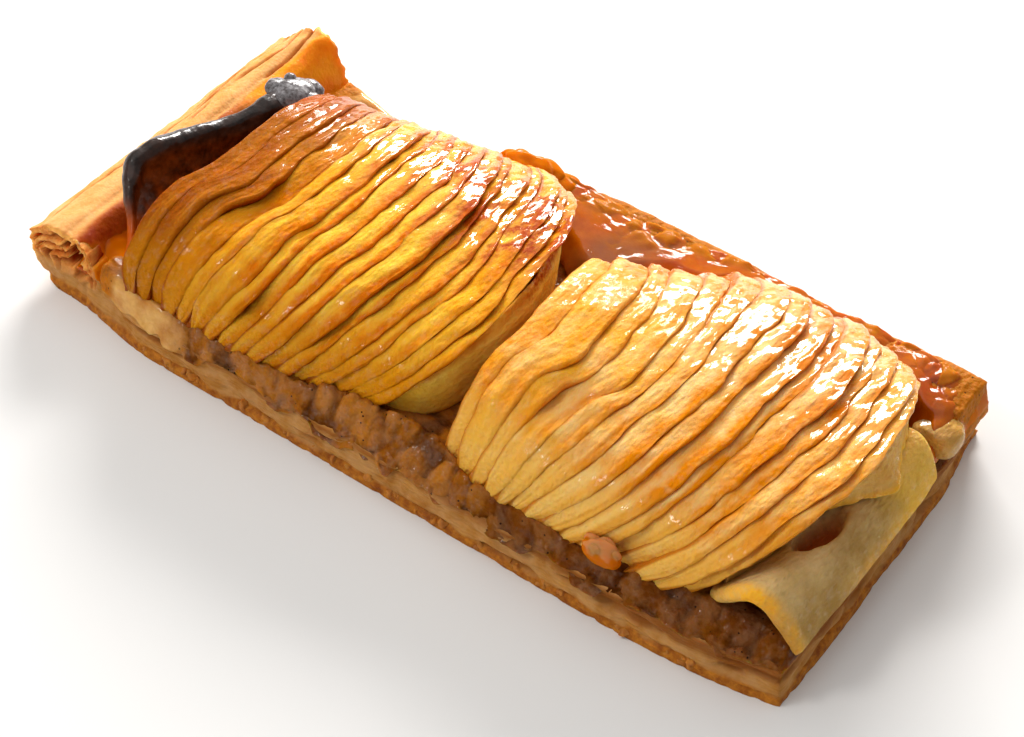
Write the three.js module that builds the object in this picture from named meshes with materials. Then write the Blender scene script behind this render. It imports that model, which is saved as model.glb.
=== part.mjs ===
// A slice of baked apple tart on puff pastry: a flat slab of pastry with one raised border, a layer
// of apple compote, and two half apples cut into thin slices and fanned out. Millimetres, +Z up,
// X along the slab from the raised border to the cut end, Y from the front cut to the back cut.

import * as THREE from 'three';
import { mergeVertices } from 'three/addons/utils/BufferGeometryUtils.js';

// Slab of pastry. The front cut bows outwards, its right corner is drawn in, the back cut is a
// little hollow, and the ends aren't quite square.
const LENGTH = 184;
const WIDTH = 82;
const BASE_TOP = 8.2;
const BASE_COLUMNS = 20;
const BASE_ROWS = 10;
const BORDER_SKEW = 0.6;
const END_SKEW = 5.3;
const FRONT_BOW = { depth: 3.7, from: 4, to: 32 };
const FRONT_CORNER = { drawnIn: 4.3, from: 120 };
const BACK_HOLLOW = { depth: 4.5, middle: 45, width: 22 };

// The slab has four levels of points up its height, and each cut face steps in a little at each.
const LEVELS = 3;
const STEP_IN = { front: 0.25, back: 0.2, end: 0.3 };

// Raised border: [X, height] of its top from the outer edge inwards. Its outer face bulges, so the
// foot stands further in than the edge, by UNDERCUT at each level.
const BORDER = [[-6.4, 11.6], [-1.6, 15.6], [2.8, 17.4], [5.4, 16.5], [8.0, 18.3], [10.2, 17.6],
  [12.4, 12.2], [14.4, 8.2]];
const UNDERCUT = [7.6, 1.2, 0, 0];
const UNDERCUT_COLUMNS = 4;
const BORDER_RISE = { front: 0.9, back: 1.25 };

// Compote: [X, height] of its surface along the front cut, under the fruit and along the back cut.
// It stands up in front of the fruit where there is room, lies low behind the left fan, and is
// heaped between the fans and at the back right corner.
const REST_GAP = 0.35;
const COMPOTE_LEFT = { foot: 16.2, top: 14.4 };
const COMPOTE_COLUMNS = 34;
const COMPOTE_ROWS = 8;
const COMPOTE_LUMPS = 0.5;
const COMPOTE_FRONT = [[14, 10.5], [30, 10.6], [70, 11.4], [80, 14.2], [100, 14.8], [108, 13.6],
  [122, 11.6], [150, 11.2], [166, 10.4], [184, 9.4]];
const COMPOTE_MIDDLE = [[14, 11.4], [160, 11.4], [163.5, 9.8], [184, 9.2]];
const COMPOTE_BACK = [[14, 11.6], [24, 9.8], [32, 9.6], [60, 10], [72, 13.5], [88, 16], [120, 16.5],
  [150, 15.5], [165, 17], [176, 17.5], [184, 15]];

// Fruit: the height that it stands on, and [X, Y] of the ends of the slices, front and back.
const FRUIT_FLOOR = 12;
const FRUIT_FRONT = [[14, 2], [24, -0.4], [55, -0.4], [75, 3.2], [96, 5.6], [103, 4.2], [113, 0.6],
  [134, 0], [140, 2.4], [146, 2.4], [151, 0.8], [160, 4.8], [184, 4.8]];
const FRUIT_BACK = [[14, 64], [24, 67], [50, 73], [62, 74.5], [75, 71], [96, 60], [121, 76],
  [142, 75.5], [160, 69], [184, 66]];
const FRUIT_MIDDLE = 38;

// Every upright slice: its cells in X, Y and Z, the rounding of its outline, the height of its
// blunt ends, and the bevel along its upper edge.
const SLICE_CELLS = [1, 12, 2];
const ROUNDNESS = 2.25;
const TIP_HEIGHT = 2.6;
const BEVEL = { from: 0.84, width: 0.5 };
const END_THINNING = 0.75;
const SLICE_GAP = 0.55;

// Slices thicken towards the top, and a kink runs across each fan near its front.
const THICKENING = 0.03;
const KINK = { at: 21, span: 3.2, lean: 0.025 };

const finishes = {
  pastry: new THREE.MeshStandardMaterial({ color: 0xd9964e, roughness: 0.7, metalness: 0 }),
  compote: new THREE.MeshStandardMaterial({ color: 0x8a4f24, roughness: 0.35, metalness: 0 }),
  golden_apple: new THREE.MeshStandardMaterial({ color: 0xe0a030, roughness: 0.35, metalness: 0 }),
  pale_apple: new THREE.MeshStandardMaterial({ color: 0xe8c27a, roughness: 0.4, metalness: 0 }),
  burnt_apple: new THREE.MeshStandardMaterial({ color: 0x2a211d, roughness: 0.4, metalness: 0 }),
  amber_jelly: new THREE.MeshStandardMaterial({ color: 0xc8691a, roughness: 0.15, metalness: 0 }),
};

const mix = THREE.MathUtils.lerp;
const ease = THREE.MathUtils.smoothstep;
const bump = (x, middle, width) => Math.exp(-(((x - middle) / width) ** 2));

// A fixed unevenness between -1 and 1, a different one for each pair of numbers.
function uneven(number, kind) {
  const value = Math.sin(12.9898 * (number + 1) + 78.233 * (kind + 1)) * 43758.5453;
  return 2 * (value - Math.floor(value)) - 1;
}

// A value read off a row of [place, value] stations.
function along(stations, place) {
  const last = stations.length - 1;
  if (place <= stations[0][0]) return stations[0][1];
  if (place >= stations[last][0]) return stations[last][1];
  const next = stations.findIndex(([at]) => at >= place);
  const [from, low] = stations[next - 1];
  const [to, high] = stations[next];
  return mix(low, high, (place - from) / (to - from));
}

// The points of a box or ball, welded, and each carried to its place in the tart.
function carried(blank, place) {
  blank.deleteAttribute('normal');
  blank.deleteAttribute('uv');
  const solid = mergeVertices(blank, 1e-4);
  const points = solid.attributes.position;
  for (let i = 0; i < points.count; i++) {
    points.setXYZ(i, ...place(points.getX(i), points.getY(i), points.getZ(i), i));
  }
  solid.computeVertexNormals();
  return solid;
}

// A block divided into cells, whose points are named by their shares a, b and c of its three sides.
function carriedBlock(cells, place) {
  const block = new THREE.BoxGeometry(1, 1, 1, ...cells);
  return carried(block, (x, y, z) => place(x + 0.5, y + 0.5, z + 0.5));
}

const tart = new THREE.Group();

function addPiece(name, geometry, finish) {
  const piece = new THREE.Mesh(geometry, finish);
  piece.name = name;
  tart.add(piece);
}

// Outline of the slab seen from above.
function frontEdge(x) {
  const corner = Math.max(0, (x - FRONT_CORNER.from) / (LENGTH - FRONT_CORNER.from));
  return FRONT_CORNER.drawnIn * corner ** 4 - FRONT_BOW.depth * ease(x, FRONT_BOW.from, FRONT_BOW.to);
}
const backEdge = (x) => WIDTH - BACK_HOLLOW.depth * bump(x, BACK_HOLLOW.middle, BACK_HOLLOW.width);
const rightEdge = (y) => LENGTH - END_SKEW * ease(y, -10, WIDTH + 13);
const borderShift = (y) => BORDER_SKEW * y / WIDTH;

// Pastry: one slab with its raised border at the left end.
function makePastry() {
  const last = BORDER.length - 1;
  const columns = last + BASE_COLUMNS;
  const place = (a, b, c) => {
    const column = Math.round(a * columns);
    const level = Math.round(c * LEVELS);
    const across = mix(0, WIDTH, b);
    const [start, edgeTop] = BORDER[Math.min(column, last)];
    const left = start + borderShift(across);
    const right = rightEdge(across) - STEP_IN.end * level;
    const undercut = UNDERCUT[level] * Math.max(0, 1 - column / UNDERCUT_COLUMNS) ** 1.5;
    const x = column > last ? mix(left, right, (column - last) / BASE_COLUMNS) : left + undercut;
    const top = BASE_TOP + (edgeTop - BASE_TOP) * mix(BORDER_RISE.front, BORDER_RISE.back, b);
    const front = frontEdge(x) + STEP_IN.front * level;
    const back = backEdge(x) - STEP_IN.back * level;
    return [x, mix(front, back, b), top * c];
  };
  return carriedBlock([columns, BASE_ROWS, LEVELS], place);
}
addPiece('puff_pastry', makePastry(), finishes.pastry);

// Compote: it fills the slab from the border to the cut end, in rows from the front cut to the
// back: the cut face, the strip in front of the fruit, the floor under it and the strip behind.
function makeCompote() {
  const bottom = BASE_TOP + REST_GAP;
  const inner = COMPOTE_ROWS - 4;
  const place = (a, b, c) => {
    const row = Math.round(b * COMPOTE_ROWS);
    const across = mix(0, WIDTH, b);
    const left = mix(COMPOTE_LEFT.foot, COMPOTE_LEFT.top, c) + borderShift(across);
    const x = mix(left, rightEdge(across) - 1 - c, a);
    const front = frontEdge(x) + mix(1, 2.2, c);
    const back = backEdge(x) - mix(0.8, 1.6, c);
    const fruitFront = Math.max(along(FRUIT_FRONT, x) - 0.6, front + 1.2);
    const fruitBack = Math.min(along(FRUIT_BACK, x) + 0.8, back - 2.4);
    const rowsAt = [front, fruitFront - 0.9, fruitFront - 0.2];
    for (let k = 1; k < inner; k++) rowsAt.push(mix(fruitFront - 0.4, fruitBack + 0.6, k / inner));
    rowsAt.push(fruitBack + 0.6, mix(fruitBack, back, 0.6), back);
    const lump = COMPOTE_LUMPS * uneven(Math.round(a * COMPOTE_COLUMNS), row);
    const heights = {
      0: along(COMPOTE_FRONT, x) - 1.2 + lump,
      1: along(COMPOTE_FRONT, x) + lump,
      [COMPOTE_ROWS - 1]: mix(along(COMPOTE_MIDDLE, x), along(COMPOTE_BACK, x), 0.75) + lump,
      [COMPOTE_ROWS]: along(COMPOTE_BACK, x) - 0.6 + lump,
    };
    return [x, rowsAt[row], mix(bottom, heights[row] ?? along(COMPOTE_MIDDLE, x), c)];
  };
  return carriedBlock([COMPOTE_COLUMNS, COMPOTE_ROWS, 1], place);
}
addPiece('apple_compote', makeCompote(), finishes.compote);

// One slice of apple: a thin half disc on its straight edge. `middle(y, height)` is the X of the
// slice's middle at a height over its foot, and its thickness is measured along X.
function makeSlice({ front, back, rise, peak = 0.5, tip = TIP_HEIGHT, thickness, middle }) {
  const centre = mix(front, back, peak);
  const place = (a, b, c) => {
    const y = mix(front, back, 0.5 - 0.5 * Math.cos(Math.PI * b));
    const half = y < centre ? centre - front : back - centre;
    const out = Math.min(1, Math.abs(y - centre) / half);
    const round = (1 - out ** ROUNDNESS) ** (1 / ROUNDNESS);
    const low = y < centre ? tip : TIP_HEIGHT;
    const top = low + (rise - low) * round;
    const height = top * [0, BEVEL.from, 1][Math.round(2 * c)];
    const bevel = c > 0.9 ? BEVEL.width : 1;
    const wide = thickness(y, height) * bevel * mix(1, END_THINNING, out ** 6);
    return [middle(y, height) + (a - 0.5) * wide, y, FRUIT_FLOOR + height];
  };
  return carriedBlock(SLICE_CELLS, place);
}

// A fan of slices. Slice n stands with its foot at `stand`, turned about Z by `yaw`, leaning over
// to the right by `lean`, with `kink` across it: all change evenly from slice to slice, so that
// neighbours never cross. A slice is as thick as the room to its neighbours lets it be.
function fanMiddle(fan, n, y, height) {
  const share = n / (fan.count - 1);
  const turned = along(fan.yaw, share) * (FRUIT_MIDDLE - y) / FRUIT_MIDDLE;
  const kink = KINK.lean * along(fan.kink, share) * Math.tanh((y - KINK.at) / KINK.span);
  return along(fan.stand, share) + turned + (fan.lean(share) + kink) * height;
}

function addFan(fan) {
  for (let i = 0; i < fan.count; i++) {
    const share = i / (fan.count - 1);
    const foot = along(fan.stand, share);
    const yaw = along(fan.yaw, share);
    const front = along(FRUIT_FRONT, foot + yaw) + 0.5 * uneven(i, fan.seed + 1);
    const back = along(FRUIT_BACK, foot - yaw) + 0.6 * uneven(i, fan.seed + 2);
    const rise = along(fan.rise, share) + 0.6 * uneven(i, fan.seed + 3);
    const shift = 0.1 * uneven(i, fan.seed);
    const middle = (y, height) => fanMiddle(fan, i, y, height) + shift;
    const thickness = (y, height) => {
      const room = fanMiddle(fan, i + 0.5, y, height) - fanMiddle(fan, i - 0.5, y, height);
      return Math.min(fan.thickness + THICKENING * height, room - SLICE_GAP);
    };
    const name = `${fan.name}_${String(i + 1).padStart(2, '0')}`;
    addPiece(name, makeSlice({ front, back, rise, thickness, middle }), fan.finish);
  }
}

// Left fan: its slices stand almost upright beside the border and lean over more and more to the
// right, so they open like a book at the top.
const leftFan = {
  name: 'apple_slice_left',
  count: 17,
  seed: 10,
  finish: finishes.golden_apple,
  thickness: 2.75,
  stand: [[-0.1, 20.2], [0, 23.8], [1, 75], [1.1, 80]],
  yaw: [[0, 0], [0.5, 2.2], [1, 6.2]],
  kink: [[0, 3], [0.2, 2.2], [0.35, 1], [1, 1]],
  rise: [[0, 19], [0.5, 21], [1, 19.5]],
  lean: (share) => 0.1 + 1.03 * (1 - Math.max(0, 1 - share) ** 1.5),
};
addFan(leftFan);

// Right fan: its first slices stand close behind the left fan, and the rest lean right.
const rightFan = {
  name: 'apple_slice_right',
  count: 15,
  seed: 20,
  finish: finishes.pale_apple,
  thickness: 3.1,
  stand: [[-0.1, 98], [0, 100.9], [0.43, 123.2], [0.5, 128.6], [1, 156.8], [1.1, 162]],
  yaw: [[0, 4.4], [0.2, 4], [0.5, 0.6], [1, 1.2]],
  kink: [[0, 0.6], [0.07, 2.4], [0.22, 4.2], [0.3, 2], [0.45, 0.4], [1, 0.4]],
  rise: [[0, 19], [0.15, 20], [0.4, 21.5], [1, 20]],
  lean: (share) => 0.2 + 0.8 * (1 - Math.max(0, 1 - share) ** 3),
};
addFan(rightFan);

// Rounded end piece of the left half apple: its flat side lies against the last slice, and its
// outer skin side, almost upright, faces the right fan.
const END_PIECE = { front: 6.5, back: 64, rise: 18.4, edge: 0.86, ridge: 2.3, undercut: 0.13 };
const END_CROWN = { swell: 0.6, inset: 0.7 };

function makeEndPiece() {
  const { front, back, rise, edge, ridge, undercut } = END_PIECE;
  const place = (a, b, c) => {
    const y = mix(front, back, 0.5 - 0.5 * Math.cos(Math.PI * b));
    const round = Math.max(0, Math.sin(Math.PI * mix(0.5, b, 1))) ** 0.9;
    const top = TIP_HEIGHT + (rise - TIP_HEIGHT) * round;
    const height = top * [0, edge, 1][Math.round(2 * c)];
    const against = (level) => fanMiddle(leftFan, leftFan.count - 0.5, y, level) + SLICE_GAP / 2;
    const wide = ridge - 0.9 * Math.abs(2 * b - 1);
    const crown = c > 0.9 ? 1 : 0;
    const skin = against(top) + wide - undercut * (top - height) - crown * END_CROWN.inset;
    const swell = crown * END_CROWN.swell * Math.sin(Math.PI * a);
    return [mix(against(height), skin, a), y, FRUIT_FLOOR + height + swell];
  };
  return carriedBlock([2, 12, 2], place);
}
addPiece('apple_end_piece_left', makeEndPiece(), finishes.golden_apple);

// Slice burnt black at the border: it leans out over the border, highest near the front, and ends
// in a charred knob at the back. Each station is [Y, X of foot, X of top edge, height, thickness].
const BURNT = [[3, 19.9, 19.4, 1.6, 2.2], [8, 19.4, 15.8, 6.5, 3], [13, 19, 11.4, 10.5, 3.4],
  [19, 18.8, 7.6, 14, 3.8], [25, 18.8, 8.8, 15, 3.8], [32, 18.8, 10.4, 13.4, 3.8],
  [41, 19, 12.8, 11.6, 3.8], [50, 19, 16.8, 12.6, 4.4], [57, 19.2, 17.8, 12.8, 6],
  [62, 19.2, 17.8, 12, 6], [66, 19.2, 18, 7, 4.2]];
const BURNT_LEVELS = [{ share: 0, width: 0.85 }, { share: 0.78, width: 1.05 }, { share: 1, width: 0.62 }];

function makeBurntSlice() {
  const rows = BURNT.length - 1;
  const place = (a, b, c) => {
    const [y, foot, top, high, thick] = BURNT[Math.round(b * rows)];
    const { share, width } = BURNT_LEVELS[Math.round(2 * c)];
    return [mix(foot, top, share) + (a - 0.5) * thick * width, y, FRUIT_FLOOR + high * share];
  };
  return carriedBlock([1, rows, 2], place);
}
addPiece('apple_slice_burnt', makeBurntSlice(), finishes.burnt_apple);

// Torn slice: it lies lower than the last slice of the right fan, and its front part is missing.
const TORN = { front: 28, back: 64, rise: 15.5, peak: 0.3, tip: 7, thickness: 2.9 };
const TORN_STAND = { foot: 160.2, lean: 1.26, yaw: 1.5 };

function makeTornSlice() {
  const { foot, lean, yaw } = TORN_STAND;
  const middle = (y, height) => foot + yaw * (FRUIT_MIDDLE - y) / FRUIT_MIDDLE + lean * height;
  return makeSlice({ ...TORN, thickness: () => TORN.thickness, middle });
}
addPiece('apple_slice_torn', makeTornSlice(), finishes.pale_apple);

// Large pale slice at the cut end: it is draped over the end of the fan and arched, so that a
// hollow opens under its front edge. The arch is lower behind, where its left foot is drawn in.
const ARCH = { front: 3.6, back: 60.5, left: 164.2, span: 19.2, thickness: 2.6 };
const ARCH_FORM = { foot: 0.5, rise: 8.8, high: 1.08, low: 0.6, skew: 1.25, drop: 1.8 };
const ARCH_PLAN = { bow: 2.5, footIn: 2.4, cornerIn: 3 };

function makeArchedSlice() {
  const { front, back, left, span, thickness } = ARCH;
  const { foot, rise, high, low, skew, drop } = ARCH_FORM;
  const { bow, footIn, cornerIn } = ARCH_PLAN;
  const spot = (s, b) => {
    const y = mix(front, back, b) + bow * (1 - b) * (2 * s - 1) ** 2 - cornerIn * b * b * s ** 3;
    const x = mix(left + footIn * ease(b, 0, 0.5), left + span - cornerIn * b * b, s);
    const lift = mix(high, mix(0.72, low, b * b), ease(b, 0, 0.4));
    const z = FRUIT_FLOOR + foot + rise * lift * Math.sin(Math.PI * s ** skew) - drop * s * s;
    return new THREE.Vector3(x, y, z);
  };
  const place = (a, b, c) => {
    const across = spot(Math.min(1, a + 0.02), b).sub(spot(Math.max(0, a - 0.02), b));
    const outward = new THREE.Vector3(-across.z, 0, across.x).normalize();
    return spot(a, b).addScaledVector(outward, (c - 0.5) * thickness).toArray();
  };
  return carriedBlock([8, 7, 1], place);
}
addPiece('apple_slice_arched', makeArchedSlice(), finishes.pale_apple);

// Loose lumps: a chunk of cooked apple at the back of the cut end, and a lump of set jelly against
// the front of the right fan. Each is a ball with uneven sides and a flat underside.
const LUMP_UNEVENNESS = 0.06;
const LUMP_BASE = -0.7;

function makeLump([x, y, z], [wide, deep, high], seed) {
  const ball = new THREE.IcosahedronGeometry(1, 2);
  return carried(ball, (px, py, pz, i) => {
    const swell = 1 - LUMP_UNEVENNESS * (1 - uneven(i, seed));
    const up = Math.max(LUMP_BASE, pz * swell);
    return [x + px * swell * wide / 2, y + py * swell * deep / 2, z + up * high / 2];
  });
}
addPiece('apple_chunk', makeLump([176, 65.2, 13], [9.6, 9.2, 7.4], 31), finishes.pale_apple);
addPiece('jelly_lump', makeLump([143.8, -0.7, 15.4], [8.6, 4.6, 7], 32), finishes.amber_jelly);

// The origin is the middle of the underside.
const centre = new THREE.Box3().setFromObject(tart).getCenter(new THREE.Vector3());
tart.position.set(-centre.x, -centre.y, 0);

const part = new THREE.Group();
part.add(tart);

export default part;
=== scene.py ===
# A slice of baked apple tart on puff pastry: pastry slab and border, compote, two fans of apple
# slices, the loose and odd slices at the ends, jelly, syrup and crumbs.
import math

import bpy
import numpy as np
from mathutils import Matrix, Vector


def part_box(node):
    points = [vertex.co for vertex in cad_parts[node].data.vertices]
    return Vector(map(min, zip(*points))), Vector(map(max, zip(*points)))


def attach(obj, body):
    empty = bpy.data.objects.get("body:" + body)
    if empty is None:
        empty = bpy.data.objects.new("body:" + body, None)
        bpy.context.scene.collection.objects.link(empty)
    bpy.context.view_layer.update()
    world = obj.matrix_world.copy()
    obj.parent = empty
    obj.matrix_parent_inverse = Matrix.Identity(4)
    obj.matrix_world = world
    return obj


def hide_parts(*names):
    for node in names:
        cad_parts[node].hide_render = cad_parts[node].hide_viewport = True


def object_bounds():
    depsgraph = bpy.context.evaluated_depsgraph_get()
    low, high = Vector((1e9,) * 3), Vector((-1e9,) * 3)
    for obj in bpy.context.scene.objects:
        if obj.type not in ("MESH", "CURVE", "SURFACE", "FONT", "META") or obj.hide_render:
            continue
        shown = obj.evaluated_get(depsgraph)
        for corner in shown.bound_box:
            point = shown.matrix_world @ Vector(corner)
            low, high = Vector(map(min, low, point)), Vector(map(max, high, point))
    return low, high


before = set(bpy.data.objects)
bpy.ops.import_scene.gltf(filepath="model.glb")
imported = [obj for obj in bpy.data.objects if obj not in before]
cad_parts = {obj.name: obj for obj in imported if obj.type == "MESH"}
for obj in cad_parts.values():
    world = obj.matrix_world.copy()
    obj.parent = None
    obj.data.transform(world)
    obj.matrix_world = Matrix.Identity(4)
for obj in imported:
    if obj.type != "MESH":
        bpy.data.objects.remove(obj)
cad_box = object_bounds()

# ------------------------------------------------------------------ puff pastry slab and border
# Laminated dough baked as one sheet with a raised edge, then cut into portions. Three sides are
# cut and show the pale, compressed layers over a browned underside; the fourth is the border,
# whose leaves have puffed, parted and browned. The parted leaves are lightened with painted light,
# and the gaps between them, the pockets in the pressed layers and the crust's creases are darkened
# with painted shade. Everything stands in millimetres from the slab's front left corner until a
# piece is made.
MM = 0.001
LENGTH = 184
WIDTH = 82
BASE_TOP = 8.2
BORDER = [[-6.4, 11.6], [-1.6, 15.6], [2.8, 17.4], [5.4, 16.5], [8.0, 18.3], [10.2, 17.6], [12.4, 12.2],
          [14.4, 8.2]]
UNDERCUT = [7.6, 1.2, 0, 0]
BORDER_RISE = (0.9, 1.25)
OUTERMOST = -BORDER[0][0]
FRONT_BOW = 3.7
PARTED_LEAF, PRESSED_LEAF, OUTER_LEAF = 2.5, 0.62, 1.7
BORDER_COLUMNS, BASE_COLUMNS, PASTRY_ROWS, PASTRY_LEVELS = 104, 236, 60, 44


def in_frame(points):
    """Points in millimetres from the slab's corner, as metres in the frame."""
    corner = np.array([cad_box[0].x + OUTERMOST * MM, cad_box[0].y + FRONT_BOW * MM, 0])
    return points * MM + corner


def mix(low, high, share):
    return low + (high - low) * share


def ease(value, low, high):
    share = np.clip((value - low) / (high - low), 0, 1)
    return share * share * (3 - 2 * share)


def bump(value, middle, width):
    return np.exp(-(((value - middle) / width) ** 2))


def zigzag(value, pitch):
    """1 at every multiple of the pitch, 0 halfway between them."""
    return np.abs((value / pitch) % 1 - 0.5) * 2


def rounded(share, power):
    """1 in the middle and 0 at both ends; a high power keeps the fall to the very ends."""
    return (1 - np.abs(2 * share - 1) ** power) ** 0.5


def along(stations, place, blur=0.0):
    """A value read off a row of [place, value] stations, averaged over `blur` each way."""
    places, values = np.array(stations, float).T
    reach = np.linspace(-blur, blur, 7) if blur else [0.0]
    return np.mean([np.interp(place + step, places, values) for step in reach], axis=0)


def scrambled(corner):
    """A number between 0 and 1 for each lattice corner, the same on every run."""
    key = corner @ np.array([73856093, 19349663, 83492791])
    key = ((key ^ (key >> 13)) * 1274126177) & 0x7FFFFFFF
    key = ((key ^ (key >> 15)) * 2246822519) & 0x7FFFFFFF
    return key / 0x7FFFFFFF


def lumpy(points, grain, seed):
    """A smooth unevenness between -1 and 1 whose lumps are about `grain` across."""
    cell = points / np.array(grain, float) + 31.7 * seed
    corner = np.floor(cell).astype(np.int64)
    part = cell - corner
    part = part * part * (3 - 2 * part)
    total = np.zeros(len(points))
    for step in np.ndindex(2, 2, 2):
        share = np.prod(np.where(np.array(step) == 1, part, 1 - part), axis=1)
        total += (2 * scrambled(corner + np.array(step)) - 1) * share
    return total


def plan(x, y):
    """Points laid flat, and their unevenness by grain and seed, which runs straight down."""
    flat = np.stack([x, y, np.zeros_like(x)], 1)

    def wavy(grain_x, grain_y, seed):
        return lumpy(flat, (grain_x, grain_y, 1), seed)

    return flat, wavy


def packed(points, grain, seed):
    """Rounded bits packed side by side, each about `grain` across: how domed, and a number for each."""
    cell = points / np.array(grain, float) + 17.3 * seed
    corner = np.floor(cell).astype(np.int64)
    nearest, own = np.full(len(points), 9.0), np.zeros(len(points))
    for step in np.ndindex(3, 3, 3):
        other = corner + np.array(step) - 1
        shift = np.stack([scrambled(other + turn) for turn in (0, 911, 3571)], 1)
        distance = np.linalg.norm(other + 0.1 + 0.8 * shift - cell, axis=1)
        closer = distance < nearest
        nearest = np.where(closer, distance, nearest)
        own = np.where(closer, shift[:, 0], own)
    return 1 - np.clip(nearest, 0, 1) ** 2, own


def front_edge(x):
    return 4.3 * np.maximum(0, (x - 120) / 64) ** 4 - FRONT_BOW * ease(x, 4, 32)


def back_edge(x):
    return WIDTH - 4.5 * bump(x, 45, 22)


def right_edge(y):
    return LENGTH - 5.3 * ease(y, -10, 95)


def block(columns, rows, levels):
    """The surface of a unit block cut into cells: the points' shares each way, and the quads."""
    surface = np.ones((columns + 1, rows + 1, levels + 1), bool)
    surface[1:-1, 1:-1, 1:-1] = False
    index = np.full(surface.shape, -1)
    index[surface] = np.arange(surface.sum())
    sides = [(index[0], True), (index[-1], False), (index[:, 0], False), (index[:, -1], True),
             (index[:, :, 0], True), (index[:, :, -1], False)]
    quads = []
    for side, turned in sides:
        quad = np.stack([side[:-1, :-1], side[1:, :-1], side[1:, 1:], side[:-1, 1:]], -1).reshape(-1, 4)
        quads.append(quad[:, ::-1] if turned else quad)
    a, b, c = (np.argwhere(surface) / (columns, rows, levels)).T
    return a, b, c, np.concatenate(quads)


def normals_of(points, quads):
    """Each point's direction outward, averaged over the quads round it."""
    across = points[quads[:, 2]] - points[quads[:, 0]]
    over = points[quads[:, 3]] - points[quads[:, 1]]
    facing = np.cross(across, over)
    total = np.zeros_like(points)
    for corner in range(4):
        np.add.at(total, quads[:, corner], facing)
    return total / np.maximum(np.linalg.norm(total, axis=1, keepdims=True), 1e-12)


def raise_relief(points, quads, swells):
    """Moves the points in or out by a sum of swells, each (height, grain, seed)."""
    relief = sum(height * lumpy(points, grain, seed) for height, grain, seed in swells)
    points += normals_of(points, quads) * relief[:, None]


def add_piece(name, points, quads, material, nodes=(), masks=None):
    """One piece of the tart: a closed mesh, its masks as point attributes, and what it stands for."""
    mesh = bpy.data.meshes.new(name)
    mesh.vertices.add(len(points))
    mesh.vertices.foreach_set("co", in_frame(points).astype(np.float32).ravel())
    mesh.loops.add(quads.size)
    mesh.loops.foreach_set("vertex_index", quads.astype(np.int32).ravel())
    mesh.polygons.add(len(quads))
    mesh.polygons.foreach_set("loop_start", np.arange(0, quads.size, 4, dtype=np.int32))
    mesh.polygons.foreach_set("loop_total", np.full(len(quads), 4, np.int32))
    mesh.update(calc_edges=True)
    mesh.validate()
    mesh.polygons.foreach_set("use_smooth", np.ones(len(mesh.polygons), bool))
    for mask, values in (masks or {}).items():
        layer = mesh.attributes.new(mask, "FLOAT", "POINT")
        layer.data.foreach_set("value", np.clip(values, 0, 1).astype(np.float32))
    mesh.materials.append(material)
    piece = bpy.data.objects.new(name, mesh)
    bpy.context.scene.collection.objects.link(piece)
    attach(piece, "root")
    if nodes:
        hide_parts(*nodes)


def pastry_shape():
    """The plain slab: points run along the border's outline, then over the flat base."""
    a, b, c, quads = block(BORDER_COLUMNS + BASE_COLUMNS, PASTRY_ROWS, PASTRY_LEVELS)
    column = a * (BORDER_COLUMNS + BASE_COLUMNS)
    station = np.clip(column / BORDER_COLUMNS, 0, 1) * (len(BORDER) - 1)
    reach = np.clip((column - BORDER_COLUMNS) / BASE_COLUMNS, 0, 1)
    across = WIDTH * b
    border = np.array(BORDER)
    count = np.arange(len(BORDER))
    edge_x = np.interp(station, count, border[:, 0]) + 0.6 * across / WIDTH
    softly = [np.interp(station + step, count, border[:, 1]) for step in (-0.4, -0.2, 0, 0.2, 0.4)]
    edge_top = np.mean(softly, axis=0)
    undercut = np.interp(3 * c, range(4), UNDERCUT) * np.maximum(0, 1 - station / 4) ** 1.5
    worn = 2.8 * ease(across, 62, WIDTH) * (1 - c)
    base_x = mix(edge_x, right_edge(across) - 0.9 * c - worn, reach)
    x = np.where(reach > 0, base_x, edge_x + undercut)
    rise = mix(*BORDER_RISE, b)
    top = np.where(reach > 0, BASE_TOP, BASE_TOP + (edge_top - BASE_TOP) * rise)
    y = mix(front_edge(x) + 0.75 * c, back_edge(x) - 0.6 * c, b)
    return a, b, c, np.stack([x, y, top * c], 1), quads, top, station, reach


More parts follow.
